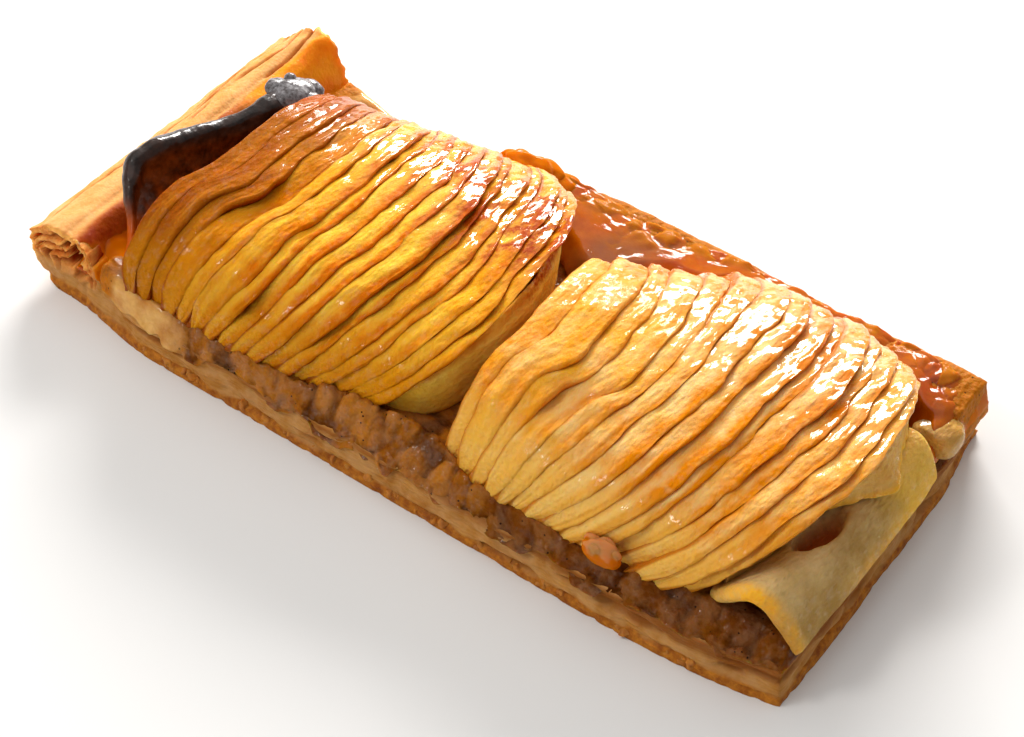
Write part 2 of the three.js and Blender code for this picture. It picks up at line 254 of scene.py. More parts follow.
def make_pastry(material):
    a, b, c, points, quads, top, station, reach = pastry_shape()
    x, y, z = points.T.copy()
    flat, wavy = plan(x, y)
    in_border = (reach == 0) & (station < 6.4)
    inner_wall = ease(x + 0.9 * wavy(5, 6, 16), 5.6, 7.2) * (1 - ease(reach, 0, 0.02))

    # The crust of the border: a thin outer leaf, then a broad smooth roll that splits into more
    # leaves towards the back, where it stands up in a torn corner.
    crust = in_border & (c == 1)
    creases = bump(x + 1.1 * wavy(60, 8, 3) + 0.4 * wavy(60, 3, 17), -3.7, 0.42)
    for place, starts, seed in ((-1.6, 28, 12), (0.8, 46, 13), (5.2, 64, 14)):
        line = bump(x + 1.5 * wavy(60, 9, seed) + 0.5 * wavy(60, 3, seed + 9), place, 0.35)
        line = line * ease(y + 14 * wavy(60, 9, seed + 4), starts, starts + 6)
        creases = np.maximum(creases, line)
    leaves = wavy(2.3, 26, 5) + 0.5 * wavy(1.1, 15, 6)
    steps = ease(wavy(4.5, 11, 8), 0.1, 0.2) * ease(y, 20, 45)
    swells = 1.0 * wavy(5, 11, 11) + 0.35 * wavy(3, 4, 18)
    lift = 0.14 * leaves - 0.9 * creases + 0.3 * steps + swells
    corner = 2.2 * ease(y, 71, 82) * bump(x, 6.5, 4.5) * (1 + 0.6 * wavy(2.2, 2.5, 15))
    slope = -2.4 * ease(x + 0.9 * wavy(5, 6, 16), 5.8, 9.8) * (1 - 0.45 * ease(y, 45, 65))
    lift = lift * ease(station, 0, 0.6) + corner + slope * ease(13 - x, 0, 2)
    points[:, 2] += np.where(crust, lift, 0)

    # Leaves at the cuts: the base is pressed into thin even layers, the border's have parted and
    # hang as curtains with deep gaps between them.
    shoulder = top - z
    outward = np.maximum(x + OUTERMOST - np.interp(3 * c, range(4), UNDERCUT), 0)
    depth = -0.8 * np.log(np.exp(-shoulder / 0.8) + np.exp(-1.2 * outward / 0.8))
    warp = lumpy(points, (6, 6, 5), 21) + 0.5 * lumpy(points, (2.4, 2.4, 2.2), 22)
    curtain = depth + 1.6 * warp + 1.2 * lumpy(points, (7, 7, 5), 23) + 0.4 * np.maximum(x - 2, 0)
    open_leaf = zigzag(curtain, PARTED_LEAF)
    parted = in_border * ease(z, 5, 9) * ease(13.5 - x, 0, 2)
    cavity = ease(0.66 + 0.75 * lumpy(points, (4, 4, 2.6), 29) - open_leaf, 0, 0.4)
    cavity = cavity * parted * ease(depth, 0.7, 1.5)
    pressed = zigzag(z + 0.35 * warp, PRESSED_LEAF)
    pocket = ease(lumpy(points, (9, 9, 1.7), 24), 0.3, 0.6) * ease(z, 1.6, 2.6) * (1 - ease(z, 6.2, 7.4))
    layers = 0.24 * pressed + 1.2 * pocket + 0.7 * lumpy(points, (5, 5, 1.3), 25)
    layers = layers + 0.25 * lumpy(points, (1.4, 1.4, 1), 26) + 0.5
    below = ease(2.2 - z, 0, 0.9)
    rough_crust = packed(flat + np.stack([0 * x, 0 * x, z], 1), (3.0, 3.0, 2.2), 28)[0]
    inward = mix(layers, 0.75 - 0.95 * rough_crust, below) + 4.2 * cavity
    inward = np.maximum(inward + 0.45 * lumpy(points, (1.1, 1.1, 0.9), 27) * parted, 0)
    points[:, 1] += np.where(b == 0, inward, 0) - np.where(b == 1, inward, 0)
    at_end = 0.8 * np.maximum(mix(layers, 0.75 - 0.9 * rough_crust, below), 0)
    points[:, 0] -= np.where(a == 1, at_end, 0)
    rows = zigzag(z + 0.7 * wavy(9, 14, 31), OUTER_LEAF)
    outline = 0.9 * wavy(60, 6, 19) + 0.4 * wavy(60, 2.2, 20)
    points[:, 0] += np.maximum(outline, -0.1) * ease(-2 - x, 0, 4) * in_border
    points[:, 0] += np.where((a == 0) & (c < 1), 0.9 * ease(0.5 - rows, 0, 0.4) + 0.5 + 0.4 * warp, 0)
    folds = wavy(9, 3.2, 33) + 0.5 * lumpy(points, (9, 1.5, 5), 34)
    points[:, 0] += np.where(in_border | (inner_wall > 0), 0.7 * folds * inner_wall * (c == 1), 0)
    points[:, 2] = np.maximum(points[:, 2], 0)

    cut = ((b == 0) | (b == 1) | (a == 1)).astype(float)
    wall_top = inner_wall * (c == 1)
    syrup = ease(y + 5 * wavy(5, 7, 35), 48, 62)
    soaked_cut = 0.5 * cut * ease(x, 8, 11) * in_border * ease(z, 7, 10) * (b < 0.5)
    masks = {
        "cut": cut * (1 - parted),
        "under": ease(2.5 - z + 0.6 * warp, 0, 0.8) * (1 - parted),
        # hollow: the gaps between the parted leaves, darkened as painted shade
        "hollow": cut * ease(cavity, 0.05, 0.6),
        # pocket: the recessed pockets in the pressed layers, darkened as painted shade
        "pocket": cut * pocket * (1 - parted),
        "stain": cut * ease(z + 0.8 * warp + 2.6 * ease(x, 110, 160), 6.4, 8.4) * ease(x, 26, 40),
        "soaked": np.maximum(wall_top * (1 - syrup), soaked_cut),
        "syrup": wall_top * syrup,
        "glazed": wall_top * ease(x + wavy(4, 4, 36), 9.5, 12) * 0.8,
        # groove: the dented creases of the crust, darkened as painted shade
        "groove": np.where(crust, creases, 0),
        # leaf: the parted leaves, their toasted colour made lighter as painted light shining through them
        "leaf": cut * parted,
    }
    add_piece("puff_pastry_slab", points, quads, material, ("puff_pastry",), masks)


def new_material(name):
    material = bpy.data.materials.new(name)
    material.use_nodes = True
    return material, material.node_tree, material.node_tree.nodes["Principled BSDF"]


def fill(tree, node, inputs):
    """A node with its inputs set to values or linked to sockets."""
    for key, value in inputs.items():
        if isinstance(value, bpy.types.NodeSocket):
            tree.links.new(value, node.inputs[key])
        else:
            node.inputs[key].default_value = value
    return node


def add_node(tree, kind, inputs, **settings):
    node = tree.nodes.new("ShaderNode" + kind)
    for setting, value in settings.items():
        setattr(node, setting, value)
    return fill(tree, node, inputs)


def mask_of(tree, name):
    return add_node(tree, "Attribute", {}, attribute_name=name).outputs["Fac"]


def blend_colours(tree, share, under, over):
    """`over` laid on `under` by a share; colours are sockets or (red, green, blue)."""
    colours = [c if isinstance(c, bpy.types.NodeSocket) else (*c, 1) for c in (under, over)]
    node = add_node(tree, "Mix", {0: share, 6: colours[0], 7: colours[1]}, data_type="RGBA")
    return node.outputs[2]


def calculate(tree, operation, first, second, clamp=False):
    node = add_node(tree, "Math", {0: first, 1: second}, operation=operation)
    node.use_clamp = clamp
    return node.outputs[0]


def times(tree, first, second):
    return calculate(tree, "MULTIPLY", first, second)


def scaled(tree, value, factor, added, clamp=False):
    """A value times a factor, and then something added."""
    inputs = {0: value, 1: factor, 2: added}
    node = add_node(tree, "Math", inputs, operation="MULTIPLY_ADD", use_clamp=clamp)
    return node.outputs[0]


def layered(tree, colour, layers):
    """Colours laid over one another: each (mask's name or socket, strength, colour)."""
    for share, strength, over in layers:
        share = mask_of(tree, share) if isinstance(share, str) else share
        colour = blend_colours(tree, times(tree, share, strength), colour, over)
    return colour


def new_group(name, inputs, output):
    """A group with number inputs and one output, and the place on the piece to start from."""
    group = bpy.data.node_groups.new(name, "ShaderNodeTree")
    for title, default in inputs.items():
        socket = group.interface.new_socket(title, in_out="INPUT", socket_type="NodeSocketFloat")
        socket.default_value = default
    group.interface.new_socket(output, in_out="OUTPUT", socket_type="NodeSocketFloat")
    given, made = group.nodes.new("NodeGroupInput"), group.nodes.new("NodeGroupOutput")
    place = add_node(group, "TexCoord", {}).outputs["Object"]
    return group, given.outputs, made.inputs[0], place


def make_mottle_group():
    """Uneven baking: soft patches with smaller patches in them, between 0 and 1."""
    inputs = {"Size mm": 5.0, "Sharpness": 1.0, "Seed": 0.0}
    group, given, made, place = new_group("Mottle", inputs, "Patches")
    scale = calculate(group, "DIVIDE", 1 / MM, given["Size mm"])
    noise = add_node(group, "TexNoise", {"Vector": place, "W": given["Seed"], "Scale": scale,
                                         "Detail": 4.0, "Roughness": 0.6}, noise_dimensions="4D")
    centred = calculate(group, "SUBTRACT", noise.outputs["Fac"], 0.5)
    spread = times(group, centred, given["Sharpness"])
    group.links.new(scaled(group, spread, 2.0, 0.5, clamp=True), made)
    return group


def make_skin_group():
    """The fine relief of baked fruit and glaze: small blisters over softer swells."""
    inputs = {"Size mm": 1.2, "Blisters": 0.5, "Grain": 1.0}
    group, given, made, place = new_group("Blistered skin", inputs, "Height")
    along_grain = add_node(group, "CombineXYZ", {"X": 1.0, "Y": given["Grain"], "Z": 1.0}).outputs[0]
    place = add_node(group, "VectorMath", {0: place, 1: along_grain}, operation="MULTIPLY").outputs[0]
    scale = calculate(group, "DIVIDE", 1 / MM, given["Size mm"])
    soft = add_node(group, "TexNoise", {"Vector": place, "Scale": scale, "Detail": 3.0, "Roughness": 0.55})
    cells = add_node(group, "TexVoronoi", {"Vector": place, "Scale": scale}, feature="SMOOTH_F1")
    dome = times(group, cells.outputs["Distance"], given["Blisters"])
    group.links.new(calculate(group, "SUBTRACT", soft.outputs["Fac"], dome), made)
    return group


def make_leaf_group():
    """Thin baked leaves seen at a cut: fine wavering layers stacked up the height."""
    inputs = {"Thickness mm": 0.5, "Waver": 0.5}
    group, given, made, place = new_group("Pastry leaves", inputs, "Layers")
    waver = add_node(group, "TexNoise", {"Vector": place, "Scale": 160.0, "Detail": 3.0})
    height = add_node(group, "SeparateXYZ", {0: place}).outputs["Z"]
    raised = scaled(group, height, 1 / MM, times(group, waver.outputs["Fac"], given["Waver"]))
    turns = calculate(group, "DIVIDE", raised, given["Thickness mm"])
    group.links.new(calculate(group, "PINGPONG", turns, 1.0), made)
    return group


mottle_group = make_mottle_group()
skin_group = make_skin_group()
leaf_group = make_leaf_group()


def use_group(tree, group, **inputs):
    node = tree.nodes.new("ShaderNodeGroup")
    node.node_tree = group
    return fill(tree, node, {key.replace("_", " "): value for key, value in inputs.items()}).outputs[0]


def mottled(tree, size_mm, sharpness, seed):
    return use_group(tree, mottle_group, Size_mm=size_mm, Sharpness=sharpness, Seed=seed)


def emboss(tree, shader, height, depth_mm, distance_mm, glaze=1.0):
    """Fine relief; the glaze lies over it as a coat that keeps only a share of the relief."""
    for socket, strength in (("Normal", depth_mm), ("Coat Normal", depth_mm * glaze)):
        bump_inputs = {"Height": height, "Strength": strength, "Distance": distance_mm * MM}
        fill(tree, shader, {socket: add_node(tree, "Bump", bump_inputs).outputs["Normal"]})


def glow_inputs(weight, radius, scale_mm):
    """Light scattered inside soft food: how much, how far by colour, and its reach."""
    return {"Subsurface Weight": weight, "Subsurface Radius": radius, "Subsurface Scale": scale_mm * MM}


def pastry_material():
    material, tree, shader = new_material("baked_puff_pastry")
    patches = mottled(tree, 7.0, 1.3, 1.0)
    small = mottled(tree, 1.6, 1.5, 2.0)
    toasted = mottled(tree, 3.2, 2.6, 15.0)
    leaves = use_group(tree, leaf_group, Thickness_mm=0.42, Waver=1.6)
    cream = times(tree, mottled(tree, 4.5, 2.5, 11.0), mask_of(tree, "cut"))
    glazed = calculate(tree, "MAXIMUM", mask_of(tree, "syrup"), mask_of(tree, "glazed"))
    wet = calculate(tree, "MAXIMUM", mask_of(tree, "soaked"), mask_of(tree, "syrup"))
    pale = blend_colours(tree, patches, (0.38, 0.14, 0.018), (0.60, 0.28, 0.06))
    colour = layered(tree, blend_colours(tree, patches, (0.80, 0.34, 0.075), (0.87, 0.50, 0.19)), [
        (small, 0.35, (0.62, 0.18, 0.02)),
        ("cut", 1, layered(tree, pale, [(leaves, 0.35, (0.36, 0.13, 0.015))])),
        (cream, 0.6, (0.62, 0.34, 0.13)),
        ("stain", 0.75, (0.24, 0.06, 0.003)),
        # Pockets in the pressed layers: painted shade
        ("pocket", 0.7, (0.30, 0.08, 0.006)),
        ("under", 1, blend_colours(tree, small, (0.26, 0.06, 0.004), (0.60, 0.22, 0.02))),
        ("soaked", 1, blend_colours(tree, patches, (0.28, 0.022, 0.0), (0.56, 0.11, 0.001))),
        (glazed, 1, blend_colours(tree, patches, (0.84, 0.16, 0.0), (1.0, 0.36, 0.003))),
        # Parted leaves: toasted colour, lightened as painted light shining through them
        ("leaf", 0.9, blend_colours(tree, toasted, (0.95, 0.43, 0.09), (0.56, 0.14, 0.008))),
        # Gaps between the parted leaves: painted shade
        ("hollow", 1, (0.38, 0.045, 0.0)),
        # Creases of the crust: painted shade
        ("groove", 1, (0.50, 0.13, 0.01)),
    ])
    fill(tree, shader, {"Base Color": colour, "Roughness": scaled(tree, small, 0.2, 0.45),
                        "Specular IOR Level": 0.1, "Coat Weight": times(tree, wet, 0.07),
                        "Coat Roughness": 0.15, **glow_inputs(0.3, (1.0, 0.4, 0.12), 1.6)})
    emboss(tree, shader, use_group(tree, skin_group, Size_mm=0.9, Blisters=0.4), 0.5, 0.35)
    return material


make_pastry(pastry_material())

# ------------------------------------------------------------------ apple compote
# Apples stewed soft with cinnamon, spread over the slab before the slices are laid on it. It is
# squeezed up in front of the fruit, thins to a pale clear gel at the left of the front cut, and
# lies in heaps behind the fruit, where syrup has set over it.
COMPOTE_FRONT = [[14, 11.2], [30, 11.6], [66, 12.4], [74, 15.2], [100, 15.8], [108, 14.6], [122, 13.4],
                 [150, 13.0], [166, 11.4], [184, 10.4]]
COMPOTE_MIDDLE = [[14, 11.4], [160, 11.4], [163.5, 9.8], [184, 9.2]]
COMPOTE_BACK = [[14, 11.6], [24, 9.8], [32, 9.6], [60, 10], [72, 13.5], [88, 16], [120, 16.5], [150, 15.5],
                [165, 17], [176, 17.5], [184, 15]]
COMPOTE_CELLS = (290, 106, 10)
FRUIT_FLOOR = 12
FRUIT_FRONT = [[14, 2], [24, -0.4], [55, -0.4], [75, 3.2], [96, 5.6], [103, 4.2], [113, 0.6], [134, 0],
               [140, 2.4], [146, 2.4], [151, 0.8], [160, 4.8], [184, 4.8]]
FRUIT_BACK = [[14, 64], [24, 67], [50, 73], [62, 74.5], [75, 71], [96, 60], [121, 76], [142, 75.5], [160, 69],
              [184, 66]]


def fruit_bits(flat, grain, swerve, seed, swerve_seed):
    """Bits of fruit packed side by side, their rows pushed out of line."""
    pushed = [lumpy(flat, swerve, swerve_seed + turn) for turn in (0, 1)]
    return packed(flat + 1.2 * np.stack([*pushed, 0 * flat[:, 0]], 1), (*grain, 50), seed)


def make_compote(material):
    a, b, c, quads = block(*COMPOTE_CELLS)
    bottom = BASE_TOP + 0.1
    across = WIDTH * b
    x = mix(mix(15.6, 14.4, c) + 0.6 * b, right_edge(across) - 0.7 - c, a)
    line = np.stack([x, 0 * x, 0 * x], 1)
    drip = ease(lumpy(line, 7, 37) + 0.8 * lumpy(line, 2.5, 38), -0.1, 0.9) * ease(x, 14, 20)
    y = mix(front_edge(x) + mix(0.9 - 0.7 * drip, 1.6, c), back_edge(x) - mix(0.6, 1.2, c), b)
    bottom = bottom - 2.4 * drip * (b < 0.02)
    flat, wavy = plan(x, y)
    fruit = along(FRUIT_FRONT, x)
    ahead = 1 - ease(y - fruit, -1.2, 2.2)
    behind = ease(y - along(FRUIT_BACK, x), -1.5, 2.5)
    slope = ease((y - front_edge(x) - 1.2) / np.maximum(fruit - front_edge(x), 1), 0, 0.75)
    heap = mix(BASE_TOP + 1.0, along(COMPOTE_FRONT, x, 3), slope)
    top = along(COMPOTE_MIDDLE, x)
    top = top + (heap - top) * ahead + (along(COMPOTE_BACK, x, 4) - top) * behind
    gel = (1 - ease(x + 7 * wavy(8, 8, 41), 30, 48)) * ahead
    jelly = behind * ease(x, 64, 72)
    gel = np.maximum(gel, behind * (1 - ease(x, 56, 64))) * ease(x, 16.5, 20)
    jelly = np.maximum(jelly, (1 - ease(x, 16.5, 20)) * np.maximum(ahead, behind))
    domes, own = fruit_bits(flat, (5.0, 4.2), 4, 42, 51)
    small, _ = packed(flat, (2.2, 2.0, 50), 43)
    relief = 3.0 * (domes - 0.72) + 1.4 * (own - 0.5) + 1.8 * (small - 0.75)
    relief = relief + 0.4 * wavy(1.2, 1.2, 44)
    rough = np.clip(1 - gel - 0.8 * jelly, 0, 1)
    near_front, near_back = (np.maximum(0, 1 - away / 2.4) for away in (y - front_edge(x), back_edge(x) - y))
    fallen = 0.6 * near_front ** 2 + 1.5 * near_back ** 2
    against_tips = ease(y - fruit, -2.0, -0.2) * (1 - ease(y - fruit, 3, 6))
    top = top + np.maximum(12.9 - top, 0) * against_tips
    gel_swells = (0.8 * wavy(5, 2.4, 48) + 0.15 * wavy(2, 2, 49)) * gel
    top = top + rough * relief * np.maximum(ahead, behind) + gel_swells - fallen
    points = np.stack([x, y, mix(bottom, top, c)], 1)
    side_domes, _ = packed(points, (4.2, 4.2, 3.0), 45)
    face = (1.6 * (0.8 - side_domes) + 0.5 * lumpy(points, (1.6, 1.6, 1.3), 46)) * np.clip(rough, 0.25, 1)
    face = np.maximum(face, 0)
    points[:, 1] += np.where(b == 0, face, 0) - np.where(b == 1, face, 0)
    points[:, 0] -= np.where(a == 1, face, 0)
    # Darker between the bits of fruit and in the hollow under the arched slice: painted shade.
    between_bits = (1 - ease(domes + 0.3 * small, 0.72, 1.0)) * rough
    under_arch = ease(y + 1.5 * wavy(3, 3, 47), 2.5, 7) * ease(x, 162, 167) * (1 - behind)
    masks = {
        "gel": gel,
        "jelly": jelly * (1 - 0.75 * (b == 1)),
        "apple": ease(own, 0.55, 0.75) * ease(domes, 0.4, 0.8) * (1 - gel),
        "shade_in_pits_and_hollow": np.maximum(between_bits, under_arch),
        "shade": np.maximum(ease(x, 160, 170) * (1 - behind), ease(x, 108, 122) * ahead) * (1 - gel),
    }
    add_piece("apple_compote_layer", points, quads, material, ("apple_compote",), masks)


def make_speck_group():
    """Ground cinnamon and vanilla: few small dark grains."""
    inputs = {"Spacing mm": 3.0, "Grain": 0.1}
    group, given, made, place = new_group("Spice grains", inputs, "Grains")
    scale = calculate(group, "DIVIDE", 1 / MM, given["Spacing mm"])
    cells = add_node(group, "TexVoronoi", {"Vector": place, "Scale": scale})
    group.links.new(calculate(group, "LESS_THAN", cells.outputs["Distance"], given["Grain"]), made)
    return group


speck_group = make_speck_group()


def compote_material():
    material, tree, shader = new_material("stewed_apple")
    gel, jelly, shade = (mask_of(tree, name) for name in ("gel", "jelly", "shade"))
    patches = mottled(tree, 5.0, 1.7, 3.0)
    small = mottled(tree, 1.3, 1.7, 4.0)
    set_share = times(tree, jelly, calculate(tree, "ADD", small, 0.3, clamp=True))
    grains = use_group(tree, speck_group, Spacing_mm=2.2, Grain=0.1)
    colour = layered(tree, blend_colours(tree, patches, (0.18, 0.04, 0.001), (0.46, 0.15, 0.006)), [
        (small, 0.3, (0.44, 0.15, 0.01)),
        ("apple", 0.6, (0.54, 0.19, 0.01)),
        (shade, 0.75, (0.14, 0.032, 0.001)),
        # Between the bits of fruit and under the arched slice: painted shade
        ("shade_in_pits_and_hollow", 0.8, (0.07, 0.013, 0.0)),
        # Pale greyish patches: a painted sheen of the glaze over the compote
        (mottled(tree, 3.2, 3.0, 13.0), 0.3, (0.36, 0.18, 0.08)),
        (gel, 1, blend_colours(tree, patches, (0.54, 0.21, 0.025), (0.78, 0.43, 0.11))),
        (set_share, 1, (0.52, 0.16, 0.008)),
        (calculate(tree, "SUBTRACT", grains, gel), 1, (0.03, 0.012, 0.004)),
    ])
    gloss = calculate(tree, "ADD", mottled(tree, 2.2, 4.0, 12.0), gel, clamp=True)
    dry = calculate(tree, "MAXIMUM", jelly, times(tree, shade, 0.3))
    gloss = calculate(tree, "SUBTRACT", scaled(tree, gloss, 0.8, -0.15), dry)
    fill(tree, shader, {"Base Color": colour, "Roughness": 0.5, "Specular IOR Level": 0.03,
                        "Coat Weight": calculate(tree, "MAXIMUM", gloss, 0.0), "Coat Roughness": 0.05,
                        **glow_inputs(0.35, (1.0, 0.4, 0.1), 1.8)})
    skin = use_group(tree, skin_group, Size_mm=1.2, Blisters=0.8)
    emboss(tree, shader, times(tree, skin, scaled(tree, gel, -0.8, 1.0)), 1.0, 0.5, 0.6)
    return material


make_compote(compote_material())

# ------------------------------------------------------------------ fanned apple slices
# Two half apples, peeled, sliced two to three millimetres thick and pushed over, so that every
# slice leans on the next. Baked under syrup: the rims brown first, the faces stay paler, and the
# glaze has run into the creases and set in blisters on top. Painted shade also darkens the slices'
# right sides, the creases between them and their front tips.
SLICE_STATIONS = 160
LEFT_POINTS, TOP_POINTS, RIGHT_POINTS = 6, 20, 12
ROUNDNESS = 2.25
TIP_HEIGHT = 2.6
FRUIT_MIDDLE = 38


def fan_middle(fan, n, y, height):
    """The x of the n-th slice's middle at a place and a height over the floor of the fruit."""
    share = n / (fan["count"] - 1)
    turned = along(fan["yaw"], share) * (FRUIT_MIDDLE - y) / FRUIT_MIDDLE
    kink = 0.025 * along(fan["kink"], share) * np.tanh((y - 21) / 3.2)
    return along(fan["stand"], share) + turned + (fan["lean"](share) + kink) * height


def node_span(name):
    """A node's front, back and height over the floor of the fruit."""
    low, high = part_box(name)
    front, back = ((corner.y - cad_box[0].y) / MM - FRONT_BOW for corner in (low, high))
    return front, back, high.z / MM - FRUIT_FLOOR


def tube_quads(stations, ring):
    """Quads round a row of closed rings, each end closed with quads across its ring."""
    here = np.arange(stations * ring).reshape(stations, ring)
    after = np.roll(here, -1, axis=1)
    sides = np.stack([here[:-1], here[1:], after[1:], after[:-1]], -1).reshape(-1, 4)
    half = ring // 2
    step = np.arange(half - 1)
    front = np.stack([step, step + 1, ring - 2 - step, ring - 1 - step], -1)
    back = front[:, ::-1] + (stations - 1) * ring
    return np.concatenate([sides, front, back])


def outline_height(out, rise):
    """The half apple's outline: its height at a share of the way out from middle to tip."""
    return TIP_HEIGHT + (rise - TIP_HEIGHT) * (1 - out ** ROUNDNESS) ** (1 / ROUNDNESS)


def crowded(front, back, share):
    """A place between front and back, places crowding towards both ends."""
    return mix(front, back, 0.5 - 0.5 * np.cos(np.pi * share))


def make_slice(span, near, far, seed, hollow=(0, 0, 1)):
    """Points, quads and masks of one slice, its rings running from front to back.

    `near` and `far` give the slice's left and right face at a height. A ring goes up the left
    face, across the top, over the rounded rim on the right and down the right face. The top
    rises towards the rim, so that every rim makes a step down to the next slice."""
    front, back, rise = span
    turn = np.linspace(0.01, 1 - 0.01, SLICE_STATIONS)[:, None]
    y = crowded(front, back, turn)
    centre = mix(front, back, 0.5)
    out = np.abs(y - centre) / (centre - front)
    top = outline_height(out, rise)
    strip = np.concatenate([y, np.full_like(y, seed * 3.1), np.zeros_like(y)], 1)

    def wander(grain, number):
        return lumpy(strip, (grain, 1, 1), seed + number)[:, None]

    uneven = 0.5 * wander(9, 0) + 0.22 * wander(3.5, 1) + 0.35 * np.sin(5.1 * seed) - 0.15
    top = top + uneven * (1 - out ** 4)
    top = (top - hollow[1] * bump(y, hollow[0], hollow[2])) * (1 - out ** 120) ** 0.5
    step = (0.85 + 0.5 * np.sin(3.7 * seed) + 0.5 * wander(8, 2)) * (1 - 0.5 * out ** 4)
    pinch = (1 - out ** 160) ** 0.5
    wide = np.maximum(far(y, top) - near(y, top), 0.6)
    roll = np.minimum(0.65 + 0.25 * wander(6, 3), 0.4 * wide)

    u = np.linspace(0, 1, TOP_POINTS)[None, :]
    left_roll = np.clip(1 - u * wide / 0.35, 0, 1)
    right_roll = np.clip(1 - (1 - u) * wide / roll, 0, 1)
    crown = top + step * (u - 0.6) + 0.1 * (1 - (2 * u - 1) ** 2)
    crown = crown - 0.35 * (1 - (1 - left_roll ** 2) ** 0.5) - roll * (1 - (1 - right_roll ** 2) ** 0.5)
    crown = np.maximum(crown, 0.3)
    middle = (near(y, crown) + far(y, crown)) / 2
    crown_x = middle + (wide + 0.25) * (u - 0.5) * pinch

    rising = np.linspace(0, 1, LEFT_POINTS, endpoint=False)[None, :]
    left_z = crown[:, :1] * rising
    left_x = near(y, left_z) + (crown_x[:, :1] - near(y, crown[:, :1])) * rising
    falling = np.linspace(1, 0, RIGHT_POINTS + 1)[None, 1:]
    right_z = crown[:, -1:] * (1 - (1 - falling) ** 1.7)
    below = crown[:, -1:] - right_z
    right_x = far(y, right_z) + (crown_x[:, -1:] - far(y, right_z)) * np.exp(-((below / 1.6) ** 2))
    x = np.concatenate([left_x, crown_x, right_x], 1)
    z = np.concatenate([left_z, crown, right_z], 1)
    points = np.stack([x, np.broadcast_to(y, x.shape), FRUIT_FLOOR + z], -1).reshape(-1, 3)
    quads = tube_quads(SLICE_STATIONS, x.shape[1])
    facing = normals_of(points, quads)

    flat_u = np.concatenate([0 * left_z, u * wide, wide + below], 1)
    arc = np.stack([flat_u.ravel(), points[:, 1], 0 * points[:, 1]], 1)
    ridges = 0.6 * lumpy(arc, (0.9, 11, 1), seed + 63) + 0.4 * lumpy(arc, (0.5, 5, 1), seed + 65)
    blistered = 1 + 0.8 * ease(points[:, 1], 40, 58)
    relief = 0.24 * ridges + 0.2 * lumpy(points, (3, 4.5, 3), seed + 60)
    relief = relief + 0.16 * blistered * lumpy(points, (1.6, 2.8, 1.6), seed + 61)
    relief = relief + 0.05 * lumpy(points, 0.7, seed + 62)
    points += facing * relief[:, None]
    edge = 0.5 + 0.15 * wander(5, 4)
    masks = {
        # rim: the browned peel, carried on down the slice's right side: partly painted shade away from the
        # light
        "rim": np.concatenate([0 * left_z, ease(u, edge - 0.1, edge + 0.3), 1 + 0 * below], 1).ravel(),
        # deep: the feet of the faces and the creases between slices, darkened as painted shade
        "deep": np.concatenate([1 + 0 * left_z, 1 - ease(u * wide, 0, 0.6), ease(below, 0, 0.8)], 1).ravel(),
        # end: the front tips, dulled as painted shade where the light falls off towards the front
        "end": (ease(out, 0.72, 0.97) * (y < centre) + 0 * x).ravel(),
        "streak": 0.5 + 0.7 * ridges,
        "wet": ease(0.5 * lumpy(points, (2.5, 6, 2.5), 64) + (points[:, 1] - 36) / 20, -0.3, 0.3),
    }
    return points, quads, masks


def caramel(points, spots):
    """How far the oven has browned the fruit: `spots` are [x, y, width, depth, strength]."""
    x, y = points[:, 0], points[:, 1]
    total = np.zeros(len(points))
    for place_x, place_y, width, depth, strength in spots:
        total += strength * bump(x, place_x, width) * bump(y, place_y, depth)
    return total * (0.6 + 0.9 * lumpy(points, (3, 6, 3), 71) + 0.5 * lumpy(points, 1.6, 72))


def make_fan(fan, material):
    def face(k):
        """The face between slice k - 1 and slice k, each fan's faces swaying a little together."""
        def place(y, height):
            line = np.stack([y[:, 0], 0 * y[:, 0] + 3.3 * k, 0 * y[:, 0]], 1)
            sway = 0.4 * np.sin(y / 8.5 + 0.55 * k + fan["seed"]) + 0.25 * np.sin(y / 4.1 + 0.9 * k)
            for swing, grain, number in ((0.5, 6, 11), (0.2, 2.2, 12)):
                sway = sway + swing * lumpy(line, (grain, 1, 1), k + number)[:, None]
            sway = (sway + 0.65 * np.sin(2.7 * k + fan["seed"])) * np.clip(height / 12, 0, 1)
            outset = fan["outset"] * (k == 0) * np.clip(1 - height / 18, 0, 1)
            return fan_middle(fan, k - 0.5, y, height) + sway - outset
        return place

    for i in range(fan["count"]):
        name = f"{fan['name']}_{i + 1:02d}"
        seed = fan["seed"] + i
        hollow = fan["hollows"].get(i, (0, 0, 1))
        points, quads, masks = make_slice(node_span(name), face(i), face(i + 1), seed, hollow)
        masks["browned"] = caramel(points, fan["browned"])
        masks["orange"] = caramel(points, fan["orange"])
        masks["tone"] = np.full(len(points), 0.5 + 0.5 * math.sin(12.9898 * seed))
        masks["wet"] *= ease(points[:, 1] + 5 * i, 48, 70) * (1 - 0.4 * np.clip(masks["browned"], 0, 1))
        masks["amber"] = ease(fan["amber"] - i + 0.8 * lumpy(points, (4, 9, 4), 73), 0, 3)
        add_piece("baked_" + name, points, quads, material, (name,), masks)


